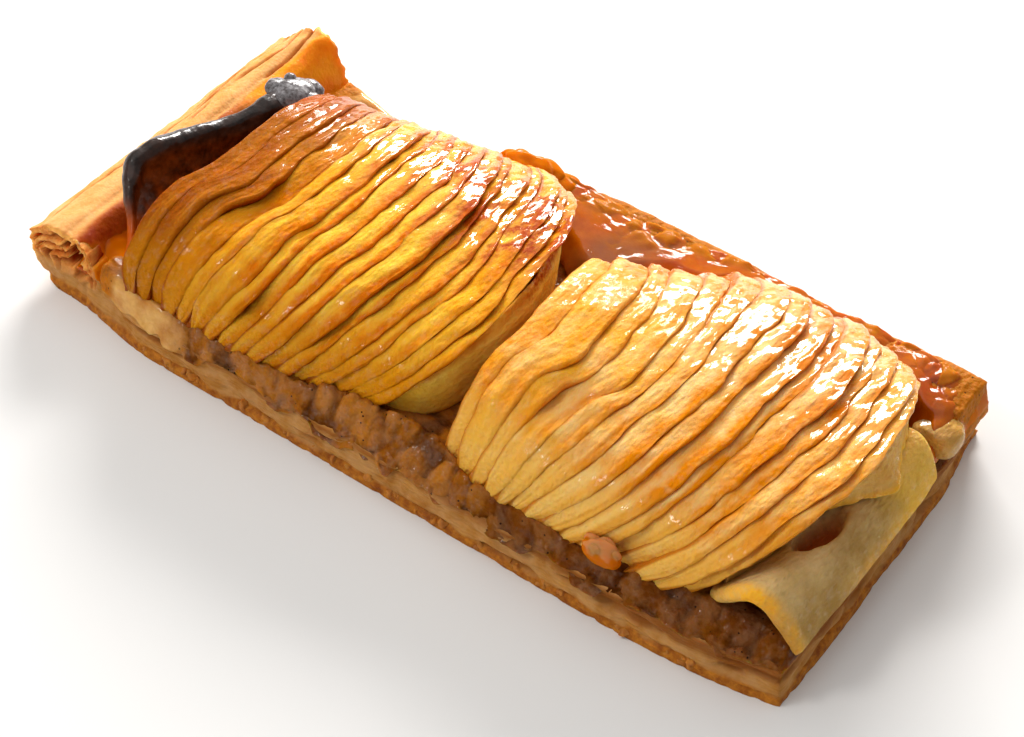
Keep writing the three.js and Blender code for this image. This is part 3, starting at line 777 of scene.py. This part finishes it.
# By a face's share of the way along its fan: `stand` is the x of its foot, `yaw` how far its front
# swings to the right, `kink` how sharply its lean changes near the front, `lean` its slope. By a
# slice's number, `hollows` are dips in the rim, (y, depth, width). `amber` is how many slices the
# syrup has steeped, `outset` how far the first one's foot spreads, the rest are caramel's spots.
LEFT_FAN = {
    "name": "apple_slice_left", "count": 17, "seed": 10, "amber": 4.5, "outset": 0,
    "hollows": {0: (30, 1.2, 14), 3: (24, 2.0, 9), 7: (5, 3.4, 4), 8: (6, 1.5, 4), 11: (9, 1.6, 5)},
    "stand": [[-0.1, 20.2], [0, 23.8], [1, 75], [1.1, 80]],
    "yaw": [[0, 0], [0.5, 2.2], [1, 6.2]],
    "kink": [[0, 3], [0.12, 5.5], [0.25, 4.5], [0.4, 1.5], [1, 1]],
    "lean": lambda share: 0.1 + 1.03 * (1 - np.maximum(0, 1 - share) ** 1.5),
    "browned": [[80, 50, 8, 11, 1.3], [92, 48, 7, 12, 1.4], [70, 56, 8, 9, 0.9], [30, 56, 9, 7, 0.5],
                [50, 62, 12, 7, 0.5]],
    "orange": [[60, 6, 30, 6, 0.5]],
}
RIGHT_FAN = {
    "name": "apple_slice_right", "count": 15, "seed": 40, "amber": -4, "outset": 1.6,
    "hollows": {1: (16, 0.8, 5), 3: (16, 2.2, 7), 6: (20, 0.8, 9), 10: (12, 0.8, 6)},
    "stand": [[-0.1, 98], [0, 100.9], [0.43, 123.2], [0.5, 128.6], [1, 156.8], [1.1, 162]],
    "yaw": [[0, 4.4], [0.2, 4], [0.5, 0.6], [1, 1.2]],
    "kink": [[0, 1.5], [0.07, 4.5], [0.22, 5.5], [0.32, 3], [0.45, 0.4], [1, 0.4]],
    "lean": lambda share: 0.2 + 0.8 * (1 - np.maximum(0, 1 - share) ** 3),
    "browned": [[112, 60, 9, 9, 0.8], [130, 62, 7, 9, 0.5], [150, 60, 8, 12, 0.7], [165, 44, 7, 14, 0.6]],
    "orange": [[162, 18, 14, 16, 1.3], [138, 14, 14, 9, 0.8], [107, 24, 8, 18, 1.1], [140, 46, 12, 10, 0.5]],
}


def fruit_material(name, face, lit_face, rim, olive, burnt_sugar, crease):
    material, tree, shader = new_material(name)
    tone, rim_mask = mask_of(tree, "tone"), mask_of(tree, "rim")
    small = mottled(tree, 1.1, 1.6, 6.0)
    streak = mottled(tree, 3.0, 1.4, 7.0)
    beads = scaled(tree, mottled(tree, 1.6, 3.0, 14.0), 1.8, -1.2)
    lit = calculate(tree, "ADD", mottled(tree, 8.0, 1.2, 5.0), scaled(tree, tone, 0.5, -0.25), clamp=True)
    rims = times(tree, scaled(tree, streak, 0.8, 0.5), scaled(tree, tone, 0.7, 0.5))
    orange = times(tree, mask_of(tree, "orange"), calculate(tree, "ADD", streak, 0.3))
    steeped = times(tree, mask_of(tree, "amber"), scaled(tree, rim_mask, -0.2, 0.85))
    browned = times(tree, mask_of(tree, "browned"), calculate(tree, "ADD", small, 0.45))
    colour = layered(tree, blend_colours(tree, lit, face, lit_face), [
        ("streak", 0.55, rim),
        # Rims: browning, and on the fan slices also painted shade over their right sides
        (times(tree, rim_mask, rims), 1, rim),
        (orange, 0.75, rim),
        (steeped, 1, crease),
        # Front tips: painted shade
        ("end", 0.6, olive),
        # Feet, creases and undersides: painted shade
        ("deep", 0.9, crease),
        (browned, 1, burnt_sugar),
    ])
    coat = calculate(tree, "MAXIMUM", scaled(tree, mask_of(tree, "wet"), 0.7, 0.05), beads)
    fill(tree, shader, {"Base Color": colour, "Roughness": scaled(tree, small, 0.2, 0.35),
                        "Specular IOR Level": 0.02, "Coat Weight": coat, "Coat Roughness": 0.06,
                        **glow_inputs(0.3, (1.0, 0.35, 0.05), 1.8)})
    emboss(tree, shader, use_group(tree, skin_group, Size_mm=0.8, Blisters=0.8, Grain=0.5), 0.9, 0.4, 0.12)
    return material


golden = fruit_material("golden_baked_apple", face=(0.92, 0.38, 0.002), lit_face=(1.0, 0.66, 0.07),
                        rim=(0.68, 0.16, 0.0), olive=(0.56, 0.21, 0.002),
                        burnt_sugar=(0.46, 0.065, 0.001), crease=(0.26, 0.040, 0.0))
pale = fruit_material("pale_baked_apple", face=(0.90, 0.44, 0.035), lit_face=(0.98, 0.74, 0.32),
                      rim=(0.80, 0.24, 0.0), olive=(0.94, 0.54, 0.09),
                      burnt_sugar=(0.70, 0.16, 0.0), crease=(0.50, 0.13, 0.001))
make_fan(LEFT_FAN, golden)
make_fan(RIGHT_FAN, pale)

# ------------------------------------------------------------------ end piece of the left half apple
# The rounded cheek of the apple, left whole as the last and thickest slice. Its outer side stands
# almost upright and faces the right fan; the ridge along its top has caught and darkened.
CHEEK_CELLS = (16, 110, 30)


def make_end_piece(material):
    front, back, rise = node_span("apple_end_piece_left")
    a, b, c, quads = block(*CHEEK_CELLS)
    y = crowded(front, back, mix(0.012, 0.988, b))
    bow = np.maximum(0, np.sin(np.pi * mix(0.5, b, 1))) ** 0.9
    top = (TIP_HEIGHT + (rise - 0.6 - TIP_HEIGHT) * bow) * rounded(b, 16)
    height = top * c
    last = LEFT_FAN["count"] - 0.5
    out = np.abs(2 * b - 1)
    left = fan_middle(LEFT_FAN, last, y, height) + 0.1
    skin = fan_middle(LEFT_FAN, last, y, top) + 2.3 - 0.9 * out - 0.13 * (top - height)
    skin = skin - 0.9 * ease(c, 0.86, 1) + 0.8 * np.sin(np.pi * np.clip(c, 0, 1)) * (1 - out)
    swell = 0.7 * np.sin(np.pi * a) * ease(c, 0.9, 1)
    points = np.stack([mix(left, np.maximum(skin, left + 0.6), a), y, FRUIT_FLOOR + height + swell], 1)
    raise_relief(points, quads, [(0.3, (6, 9, 5), 81), (0.16, 2.6, 82), (0.07, 1.3, 83)])
    ridge = ease(c, 0.86, 0.97)
    masks = {
        "rim": ridge,
        # deep: a little painted shade at the foot
        "deep": 0.1 * (1 - ease(c, 0.1, 0.4)),
        "end": ease(out, 0.6, 0.95) * (b < 0.5),
        "browned": ridge * ease(b, 0.35, 0.6) * 0.7 + caramel(points, [[102, 44, 8, 12, 0.2]]),
        "tone": np.full(len(a), 0.3),
    }
    name = "apple_end_piece_left"
    add_piece("baked_" + name, points, quads, material, (name,), masks)


# The cheek's colours are lighter than the left fan's: painted light, making up for the shadow the fan casts
# over it.
cheek = fruit_material("browned_apple_cheek", face=(1.0, 0.60, 0.06), lit_face=(1.0, 0.74, 0.14),
                       rim=(0.70, 0.19, 0.002), olive=(0.98, 0.48, 0.02),
                       burnt_sugar=(0.36, 0.03, 0.001), crease=(0.60, 0.20, 0.008))
make_end_piece(cheek)

# ------------------------------------------------------------------ burnt slice at the border
# The first slice stood free of the syrup and charred. Its top edge has rolled into a thick glossy
# black lip that leans out over the border, and its back end has boiled up into blisters, grey and
# ashen, with a painted sheen.
# BURNT: at each y, the x of its foot and of its lip, its height and thickness. BLISTERS: their
# middles and half sizes.
BURNT = [[3, 19.9, 19.4, 1.6, 1.4], [8, 19.4, 16.4, 6.0, 1.7], [13, 19, 12.0, 10.5, 2.2],
         [19, 18.8, 7.6, 14, 3.4], [25, 18.8, 8.8, 15, 3.8], [32, 18.8, 10.4, 13.4, 3.8],
         [41, 19, 12.8, 11.6, 3.8], [50, 19, 16.8, 12.6, 4.4], [57, 19.2, 17.8, 12.8, 6],
         [62, 19.2, 17.8, 12, 6], [66, 19.2, 18, 7, 4.2]]
BLISTERS = [[14.8, 56.6, 24.6, 2.6, 2.6, 1.8], [16.0, 59.6, 25.8, 1.3, 1.4, 1.2],
            [18.8, 57.0, 24.8, 4.6, 4.8, 2.3], [23.0, 57.4, 23.8, 2.8, 3.4, 2.1],
            [19.8, 61.6, 23.2, 3.4, 2.6, 2.2]]
BURNT_STATIONS, BURNT_SIDE = 130, 24


def make_burnt_slice(material):
    table = np.array(BURNT)
    turn = np.linspace(0, 1, BURNT_STATIONS)
    rows = [np.interp(turn, np.linspace(0, 1, len(table)), column) for column in table.T]
    window = np.hanning(15) / np.hanning(15).sum()
    rows = [np.convolve(np.pad(row, 7, mode="edge"), window, "valid")[:, None] for row in rows]
    y, foot, lip, high, thick = rows
    ends = 0.97 * rounded(turn, 30)[:, None] + 0.03
    thick = thick * 1.2
    ring = np.linspace(0, 1, BURNT_SIDE) ** 1.6
    fall = np.concatenate([ring[::-1], ring[1:]])[None, :]
    side = np.repeat([-1.0, 1.0], [BURNT_SIDE, BURNT_SIDE - 1])[None, :]
    slope = (lip - foot) / np.maximum(high, 0.1)
    cosine = 1 / np.sqrt(1 + slope ** 2)
    crown = (high + 1.2 * ease(high, 8, 12)) * ends
    deep = fall * crown / cosine
    roll = np.minimum(thick, 0.9 * crown)
    bulge = (1 - np.clip(1 - 2 * deep / roll, 0, 1) ** 2) ** 0.5
    waist = mix(1.0, 0.5, ease(deep, 0.7 * thick, 1.5 * thick))
    wide = 0.52 * thick * bulge * waist * ends
    height = crown * (1 - fall)
    x = foot + slope * height + side * wide * cosine
    z = np.maximum(height - side * wide * slope * cosine, 0)
    points = np.stack([x, np.broadcast_to(y, x.shape), FRUIT_FLOOR + z], -1).reshape(-1, 3)
    quads = tube_quads(*x.shape)
    raise_relief(points, quads, [(0.4, (5, 7, 4), 91), (0.25, 2.6, 92), (0.1, 1.1, 93)])
    low_down = ease(fall + 0.1 * np.sin(y * 1.3), 0.5, 0.85)
    masks = {
        "face": ((side > 0) * ease(deep, 0.6 * thick, 1.1 * thick)).ravel(),
        # Grey on the back end: ashen char, with a painted sheen of the glossy surface
        "ash_and_sheen": (0.8 * ease(y, 50, 62) + 0 * x).ravel(),
        "foot": np.maximum(low_down, 1 - ease(y + 0.3 * z, 9, 17)).ravel(),
    }
    name = "apple_slice_burnt"
    add_piece("baked_" + name, points, quads, material, (name,), masks)


def make_ball(centre, sizes, seed, cells=16, unevenness=0.12):
    *shares, quads = block(cells, cells, cells)
    ball = np.tan((np.stack(shares, 1) * 2 - 1) * math.pi / 4)
    ball /= np.linalg.norm(ball, axis=1, keepdims=True)
    swell = 1 + unevenness * lumpy(ball, 0.7, seed) + 0.4 * unevenness * lumpy(ball, 0.3, seed + 1)
    return ball * swell[:, None] * np.array(sizes) + np.array(centre), quads


def joined(parts):
    """Several meshes as one: their points and quads in a row."""
    points, quads, count = [], [], 0
    for some_points, some_quads in parts:
        points.append(some_points)
        quads.append(some_quads + count)
        count += len(some_points)
    return np.concatenate(points), np.concatenate(quads)


def burnt_material():
    material, tree, shader = new_material("charred_apple")
    patches = mottled(tree, 3.0, 1.8, 8.0)
    small = mottled(tree, 0.9, 2.0, 9.0)
    # Grey patches: ashen char, with a painted sheen of the glossy surface
    ash_and_sheen = times(tree, mask_of(tree, "ash_and_sheen"), calculate(tree, "ADD", small, 0.25))
    colour = layered(tree, blend_colours(tree, patches, (0.006, 0.003, 0.002), (0.040, 0.016, 0.010)), [
        ("face", 1, blend_colours(tree, patches, (0.030, 0.006, 0.001), (0.17, 0.035, 0.003))),
        ("foot", 1, (0.56, 0.09, 0.0)),
        (ash_and_sheen, 1, (0.20, 0.19, 0.20)),
    ])
    fill(tree, shader, {"Base Color": colour, "Roughness": scaled(tree, small, 0.15, 0.3),
                        "Specular IOR Level": 0.12, "Coat Roughness": 0.12,
                        "Coat Weight": scaled(tree, mask_of(tree, "foot"), -0.4, 0.5)})
    emboss(tree, shader, use_group(tree, skin_group, Size_mm=1.4, Blisters=0.8), 0.6, 0.4, 0.4)
    return material


charred = burnt_material()
make_burnt_slice(charred)
boiled, boiled_quads = joined([make_ball(b[:3], b[3:], 95 + k) for k, b in enumerate(BLISTERS)])
add_piece("charred_blisters", boiled, boiled_quads, charred,
          masks={"ash_and_sheen": np.full(len(boiled), 0.9)})

# ------------------------------------------------------------------ torn slice
# The last upright slice of the right fan has slipped down and lost its front part, so its curled
# lower edge is thin and it shows a broad bare face. TORN_EDGE: the edge's y, x and z.
TORN_EDGE = [[7, 166.0, 13.6], [15, 169.0, 16.8], [23, 170.2, 18.8], [30, 172.2, 19.8], [35, 175.6, 19.8],
             [39, 179.2, 20.0], [42, 180.6, 20.2], [46, 178.6, 20.8], [50, 176.8, 21.0], [54, 175.0, 20.4],
             [59, 172.8, 17.6]]
TORN_CELLS = (40, 110, 4)


def make_torn_slice(material):
    a, b, c, quads = block(*TORN_CELLS)
    y = mix(TORN_EDGE[0][0], TORN_EDGE[-1][0], b)
    table = np.array(TORN_EDGE)
    edge_x, edge_z = (along(table[:, [0, k]], y, 1.2) for k in (1, 2))
    front, back, rise = node_span(f"apple_slice_right_{RIGHT_FAN['count']:02d}")
    out = np.clip(np.abs(2 * (y - front) / (back - front) - 1), 0, 1)
    under = np.maximum(outline_height(out, rise) - 3.6, 1)
    upper_x = fan_middle(RIGHT_FAN, RIGHT_FAN["count"] - 0.6, y, under) - 0.6
    upper_z = FRUIT_FLOOR + under
    torn = ease(y, 33, 37) * (1 - ease(y, 44, 48))
    line = np.stack([y, 0 * y, 0 * y], 1)
    edge_x = edge_x + (0.3 + 0.5 * torn) * lumpy(line, 1.8, 141)
    x = mix(upper_x, edge_x, a)
    z = mix(upper_z, edge_z, a) + 1.1 * np.sin(np.pi * a) + 0.9 * torn * ease(a, 0.8, 1)
    edge = (1 - np.clip((a - 0.9) / 0.1, 0, 1) ** 2) ** 0.5
    ends = rounded(b, 20)
    thick = mix(2.2, 1.1, torn * ease(a, 0.5, 1)) * mix(0.3, 1, edge) * ends
    inset = (1 - c) * thick * 0.7
    points = np.stack([x - inset, y, np.maximum(z - inset, FRUIT_FLOOR + 0.1 * c)], 1)
    raise_relief(points, quads, [(0.2, (3.2, 5, 3.2), 142), (0.1, 1.4, 143)])
    masks = {
        "rim": ease(a, 0.8, 0.96),
        # deep: the underside darkened as painted shade
        "deep": 0.8 * (c < 0.5) * (a < 0.97),
        "browned": caramel(points, [[176, 52, 5, 8, 0.15]]),
        "tone": 0.5 + 0.4 * lumpy(points, (4, 8, 4), 144),
        "wet": ease(y, 44, 60) * 0.6,
    }
    name = "apple_slice_torn"
    add_piece("baked_" + name, points, quads, material, (name,), masks)


tan = fruit_material("bare_apple_face", face=(0.72, 0.37, 0.07), lit_face=(0.84, 0.52, 0.15),
                     rim=(0.88, 0.44, 0.04), olive=(0.44, 0.27, 0.07),
                     burnt_sugar=(0.60, 0.16, 0.01), crease=(0.12, 0.035, 0.003))
make_torn_slice(tan)

# ------------------------------------------------------------------ arched slice at the cut end
# A large pale slice draped over the end of the fan. It has dried into an arch, so that its thick
# front rim stands clear of the compote over a dark hollow; light glows through the rim.
ARCH_CELLS = (72, 90, 6)


def make_arched_slice(material):
    a, b, c, quads = block(*ARCH_CELLS)

    def spot(s, t):
        y = mix(3.6, 60.5, t) + 2.5 * (1 - t) * (2 * s - 1) ** 2 - 3 * t * t * s ** 3
        x = mix(164.2 + 2.4 * ease(t, 0, 0.5), 183.4 - 3 * t * t, s)
        lift = mix(1.08, mix(0.72, 0.6, t * t), ease(t, 0, 0.4))
        z = FRUIT_FLOOR + 0.5 + 8.8 * lift * np.sin(np.pi * s ** 1.25) - 1.8 * s * s
        return np.stack([x, y, z], 1)

    before, after = spot(np.clip(a - 0.02, 0, 1), b), spot(np.clip(a + 0.02, 0, 1), b)
    step = after - before
    outward = np.stack([-step[:, 2], np.zeros(len(a)), step[:, 0]], 1)
    outward /= np.linalg.norm(outward, axis=1, keepdims=True)
    edge = rounded(a, 24) * mix(0.85 * (b < 0.5), 1, rounded(b, 70))
    thick = mix(3.3, 2.4, ease(b, 0, 0.12)) * mix(0.35, 1, edge) * (1 + 0.1 * lumpy(spot(a, b), 7, 101))
    points = spot(a, b) + outward * ((c - 0.5) * thick)[:, None]
    points[:, 1] -= 1.1 * (1 - (2 * c - 1) ** 2) * (b == 0)
    split = bump(points[:, 0] - 0.1 * (points[:, 1] - 26), 173.6, 3.2) * bump(points[:, 1], 26, 7.5)
    split = ease(split + 0.12 * lumpy(points, 1.6, 104), 0.3, 0.75)
    points[:, 2] -= 4.5 * split
    raise_relief(points, quads, [(0.22, (6, 9, 6), 102), (0.08, 2.2, 103)])
    front_rim = 1 - ease(b + 0.01 * lumpy(points, 4, 107), 0.0, 0.055)
    right_rim = 0.8 * ease(a, 0.85, 0.97) * ease(b, 0.2, 0.5)
    masks = {
        "rim": np.maximum(front_rim * mix(0.6, 1, ease(a, 0.35, 0.6)), right_rim),
        # deep: the underside and the dip of the hole under the torn slice, darkened as painted shade
        "deep": np.maximum((1 - c) * mix(0.5 * ease(a, 0.4, 0.7), 0.8, 1.0 * (b > 0.02)), split),
        "end": ease(b + 0.1 * lumpy(points, 5, 106), 0.5, 0.8),
        # tone: lighter along the crest and darker towards both feet, painted light, over random patches
        "tone": ease(a, 0.1, 0.4) * (1 - ease(a, 0.55, 0.85)) + 0.4 * lumpy(points, 7, 105),
    }
    name = "apple_slice_arched"
    add_piece("baked_" + name, points, quads, material, (name,), masks)


drape = fruit_material("draped_apple", face=(0.42, 0.24, 0.06), lit_face=(0.76, 0.52, 0.22),
                       rim=(1.0, 0.48, 0.035), olive=(1.0, 0.58, 0.07),
                       burnt_sugar=(0.55, 0.13, 0.015), crease=(0.40, 0.07, 0.002))
make_arched_slice(drape)

# ------------------------------------------------------------------ loose chunk and jelly lump
# A chunk of cooked apple lies at the back of the cut end, and a lump of syrup has set against the
# front of the right fan, clear amber below and frothy white on top.


def node_ball(name, seed, material, masks_of, uneven, boxy, bumps=()):
    """A ball as large as the node's box, the flatter-sided the less `boxy` is; `bumps` are smaller
    balls on it, [x, y, z, size]."""
    low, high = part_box(name)
    middle = (np.array((low + high) / 2) - in_frame(np.zeros(3))) / MM
    sizes = np.array((high - low) / MM / 2) * 1.04
    ball, ball_quads = make_ball((0, 0, 0), (1, 1, 1), seed, 30, uneven)
    parts = [(np.sign(ball) * np.abs(ball) ** boxy * sizes + middle, ball_quads)]
    for k, bump_at in enumerate(bumps):
        parts.append(make_ball(middle + sizes * bump_at[:3], sizes * bump_at[3], seed + 2 + k, 16, 0.15))
    points, quads = joined(parts)
    add_piece("set_" + name, points, quads, material, (name,), masks_of(points))


def chunk_masks(points):
    return {"amber": 0.3 + 0.25 * lumpy(points, 3, 5), "wet": np.full(len(points), 0.8)}


def lump_masks(points):
    froth = 0.3 * ease(points[:, 2] + 1.2 * lumpy(points, 1.1, 7), 17, 17.8)
    return {"bright": np.full(len(points), 0.8), "froth": froth}


node_ball("apple_chunk", 111, tan, chunk_masks, 0.12, 0.7)


def jelly_material():
    material, tree, shader = new_material("amber_jelly")
    patches = mottled(tree, 9.0, 1.4, 10.0)
    colour = layered(tree, blend_colours(tree, patches, (0.42, 0.065, 0.0), (0.62, 0.16, 0.002)), [
        ("deep", 0.8, (0.34, 0.045, 0.0)),
        ("murky", 1, (0.30, 0.085, 0.02)),
        ("bits", 1, (0.50, 0.16, 0.012)),
        ("bright", 1, (0.62, 0.145, 0.0)),
        ("froth", 1, (0.74, 0.46, 0.24)),
    ])
    dull = calculate(tree, "MAXIMUM", mask_of(tree, "bits"), mask_of(tree, "bright"))
    fill(tree, shader, {"Base Color": colour, "Roughness": 0.5, "Specular IOR Level": 0.0,
                        "Coat Weight": scaled(tree, dull, -0.55, 0.6), "Coat Roughness": 0.05,
                        **glow_inputs(0.4, (1.0, 0.25, 0.03), 2.0)})
    emboss(tree, shader, use_group(tree, skin_group, Size_mm=2.0, Blisters=0.5), 0.25, 0.4)
    return material


amber = jelly_material()
node_ball("jelly_lump", 121, amber, lump_masks, 0.15, 1.0,
          [[-0.6, 0.3, 0.5, 0.42], [0.1, 0.5, 0.62, 0.4], [0.62, 0.1, 0.42, 0.42], [-0.1, -0.5, 0.5, 0.4]])

# ------------------------------------------------------------------ set syrup behind the fruit
# The syrup brushed over the hot tart has run off the fruit and set as thick amber jelly between
# the two fans, in the back right corner and in the dip beside the border.
POOLS = [
    {"from": 63.5, "to": 160,
     "near": [[63, 73.5], [75, 69], [88, 61], [96, 55], [106, 64], [121, 73], [160, 71]],
     "top": [[63, 13], [66, 16.4], [72, 17.4], [80, 16.6], [92, 16.6], [110, 17.2], [130, 17.1],
             [160, 17.6]]},
    {"from": 156, "to": 183, "near": [[156, 72], [168, 66], [171, 60], [183, 59]],
     "top": [[156, 17.4], [168, 18.0], [175, 17.6], [180, 15.6], [183, 12.6]]},
]
AMBER_DROPS = [[69.6, 74.2, 17.0, 7.2, 4.6, 3.8], [72.5, 75.2, 14.2, 8.5, 4.8, 4.4],
               [65.5, 75.0, 14.0, 5.0, 3.6, 3.4]]
POOL_CELLS = (150, 60, 4)
BORDER_SYRUP_CELLS = (40, 110, 4)


def make_pool(pool, material, seed):
    """Smooth syrup in the middle, its near side running down between the slices; towards the back
    edge lumps of compote stand in it."""
    a, b, c, quads = block(*POOL_CELLS)
    x = mix(pool["from"], np.minimum(pool["to"], right_edge(75) - 0.8), a)
    y = mix(along(pool["near"], x, 2), back_edge(x) - 1.6, b)
    flat, wavy = plan(x, y)
    lumps, own = fruit_bits(flat, (4.4, 3.4), 3, 57, 55)
    behind = ease(b + 0.2 * wavy(6, 6, seed + 6), 0.45, 0.8)
    inside = np.minimum(np.minimum(a * 14, (1 - a) * 5), np.minimum(b * 3.2, (1 - b) * 9))
    edge = np.clip(inside + 0.5 * wavy(4, 4, seed), 0, 1)
    edge = 1 - (1 - edge) ** 2
    top = along(pool["top"], x, 3) + 0.35 * wavy(8, 6, seed + 1) + 0.08 * wavy(2.5, 2.5, seed + 2)
    bits = 1.4 * (lumps - 0.7) + 0.7 * (own - 0.5) + 0.3 * wavy(1.3, 1.3, seed + 7)
    top = np.maximum(top + behind * bits - 5 * (1 - edge), BASE_TOP + 1.2)
    bottom = np.maximum(top - mix(0.4, 4.5, edge), BASE_TOP + 0.5)
    points = np.stack([x, y, mix(bottom, top, c)], 1)
    bright = np.maximum(1 - ease(x, 72, 80), ease(x, 170, 178))
    bright = bright * (1 - 0.5 * ease(wavy(5, 4, seed + 4), 0, 0.5))
    murky = ease(lumpy(points, (12, 9, 30), seed + 3), -0.3, 0.3)
    masks = {
        "deep": ease(x, 164, 170) * (1 - bright),
        "murky": murky * ease(x, 78, 84) * (1 - ease(x, 104, 112)),
        "bits": behind * ease(own, 0.3, 0.6) * (1 - 0.7 * bright),
        "bright": bright * (1 - 0.8 * ease(x, 168, 174) * (1 - ease(y, 68, 76))),
    }
    if pool is POOLS[0]:
        drops = [make_ball(d[:3], d[3:], 151 + k, 20, 0.3) for k, d in enumerate(AMBER_DROPS)]
        points, quads = joined([(points, quads), *drops])
        amber = np.full(len(points) - len(x), 0.85)
        for name in masks:
            masks[name] = np.append(masks[name], amber if name == "bright" else 0 * amber)
    add_piece(f"set_syrup_pool_{seed}", points, quads, material, masks=masks)


for number, one_pool in enumerate(POOLS):
    make_pool(one_pool, amber, 131 + 10 * number)


def make_border_syrup(material):
    """Syrup caught between the border and the first slices, sloping from one to the other."""
    a, b, c, quads = block(*BORDER_SYRUP_CELLS)
    y = mix(1.0, 50, b)
    x = mix(7.2, 19.2 - 1.5 * (1 - ease(y, 0, 6)), a)
    _, wavy = plan(x, y)
    top = mix(14.2, 11.4, ease(a, 0, 0.8)) + 0.5 * wavy(3, 5, 171) + 0.2 * wavy(1.4, 2, 172)
    top = mix(BASE_TOP + 0.8, top, ease(y + 0.8 * wavy(2.5, 60, 173), 1.2, 7.5))
    points = np.stack([x, y, mix(BASE_TOP + 0.2, top, c)], 1)
    thin = ease(wavy(3, 6, 174), -0.2, 0.5)
    masks = {"deep": 0.9 * (1 - thin), "bright": 0.9 * thin}
    add_piece("set_syrup_at_border", points, quads, material, masks=masks)


make_border_syrup(amber)

# ------------------------------------------------------------------ crumbs along the cut
# Flakes and crumbs of browned crust that the knife has left hanging on the lower edge.
CRUMBS = 60


def make_crumbs(material):
    draw = np.random.default_rng(7)
    parts = []
    for k in range(CRUMBS):
        x = draw.uniform(10, 180)
        size = draw.uniform(0.35, 1.1)
        centre = (x, front_edge(x) + draw.uniform(0.6, 1.2), draw.uniform(0.5, 1.6) + 0.3 * size)
        sizes = size * draw.uniform(0.6, 1.3, 3)
        parts.append(make_ball(centre, sizes, 200 + k, 8, 0.35))
    points, quads = joined(parts)
    points[:, 2] = np.maximum(points[:, 2], 0.02)
    masks = {"under": np.full(len(points), 0.8)}
    add_piece("crust_crumbs", points, quads, material, masks=masks)


make_crumbs(bpy.data.materials["baked_puff_pastry"])

# ------------------------------------------------------------------ studio
# A pale floor in a pale room, a strong soft light from behind on the left, and weaker ones from
# above and in front. The camera looks down from in front on the right; VIEW_DISTANCE is in
# millimetres.
VIEW_POINT = (91.4, 39.8, 0)
VIEW_AZIMUTH, VIEW_ELEVATION, VIEW_DISTANCE = math.radians(37.8), math.radians(45), 583.1
LENS_MM, SENSOR_MM = 100.2, 36.0
FLOOR_REACH = 6.0
# Each light's name, the way to it, its distance, width and height in metres, watts and colour.
LIGHTS = [
    ("glints_from_front", (-0.43, -0.48, 0.76), 0.8, 0.2, 0.09, 1.1, (1.0, 0.97, 0.93)),
    ("key_from_back_left", (-0.45, 0.82, 0.40), 0.8, 0.42, 0.2, 10.0, (1.0, 0.97, 0.93)),
    ("fill_from_above", (-0.3, 0.1, 1.0), 1.3, 1.5, 1.5, 4.3, (1.0, 0.98, 0.95)),
    ("fill_from_front", (-0.3, -0.9, 0.45), 1.4, 1.6, 1.2, 3.3, (1.0, 0.97, 0.92)),
]


def add_light(name, towards, distance, width, height, power, colour):
    data = bpy.data.lights.new(name, "AREA")
    data.shape, data.size, data.size_y = "RECTANGLE", width, height
    data.energy, data.color = power, colour
    light = bpy.data.objects.new(name, data)
    direction = Vector(towards).normalized()
    light.location = direction * distance
    light.rotation_mode = "QUATERNION"
    light.rotation_quaternion = direction.to_track_quat("Z", "Y")
    bpy.context.scene.collection.objects.link(light)


def make_studio():
    floor_mesh = bpy.data.meshes.new("floor")
    corners = [(FLOOR_REACH * x, FLOOR_REACH * y, 0) for x, y in ((-1, -1), (1, -1), (1, 1), (-1, 1))]
    floor_mesh.from_pydata(corners, [], [(0, 1, 2, 3)])
    floor = bpy.data.objects.new("floor", floor_mesh)
    material, tree, shader = new_material("pale_floor")
    fill(tree, shader, {"Base Color": (0.86, 0.86, 0.86, 1), "Roughness": 0.9})
    floor_mesh.materials.append(material)
    bpy.context.scene.collection.objects.link(floor)
    world = bpy.data.worlds.new("pale_room")
    bpy.context.scene.world = world
    world.use_nodes = True
    tree, background = world.node_tree, world.node_tree.nodes["Background"]
    heading = add_node(tree, "TexCoord", {}).outputs["Generated"]
    window = add_node(tree, "VectorMath", {0: heading, 1: (-0.5, 0.65, 0.57)}, operation="DOT_PRODUCT")
    brightness = add_node(tree, "MapRange", {"Value": window.outputs["Value"], "From Min": -0.6,
                                             "From Max": 0.9, "To Min": 0.25, "To Max": 0.55})
    strength = brightness.outputs["Result"]
    fill(tree, background, {"Color": (1.0, 0.99, 0.97, 1), "Strength": strength})
    for light in LIGHTS:
        add_light(*light)


def make_camera():
    data = bpy.data.cameras.new("camera")
    data.lens, data.sensor_width = LENS_MM, SENSOR_MM
    data.clip_start, data.clip_end = 0.01, 50
    camera = bpy.data.objects.new("camera", data)
    back = Vector((math.sin(VIEW_AZIMUTH) * math.cos(VIEW_ELEVATION),
                   -math.cos(VIEW_AZIMUTH) * math.cos(VIEW_ELEVATION), math.sin(VIEW_ELEVATION)))
    target = Vector(in_frame(np.array([VIEW_POINT], float))[0])
    camera.location = target + back * VIEW_DISTANCE * MM
    camera.rotation_mode = "QUATERNION"
    camera.rotation_quaternion = back.to_track_quat("Z", "Y")
    bpy.context.scene.collection.objects.link(camera)
    bpy.context.scene.camera = camera


make_studio()
make_camera()
bpy.context.scene.view_settings.view_transform = "Standard"
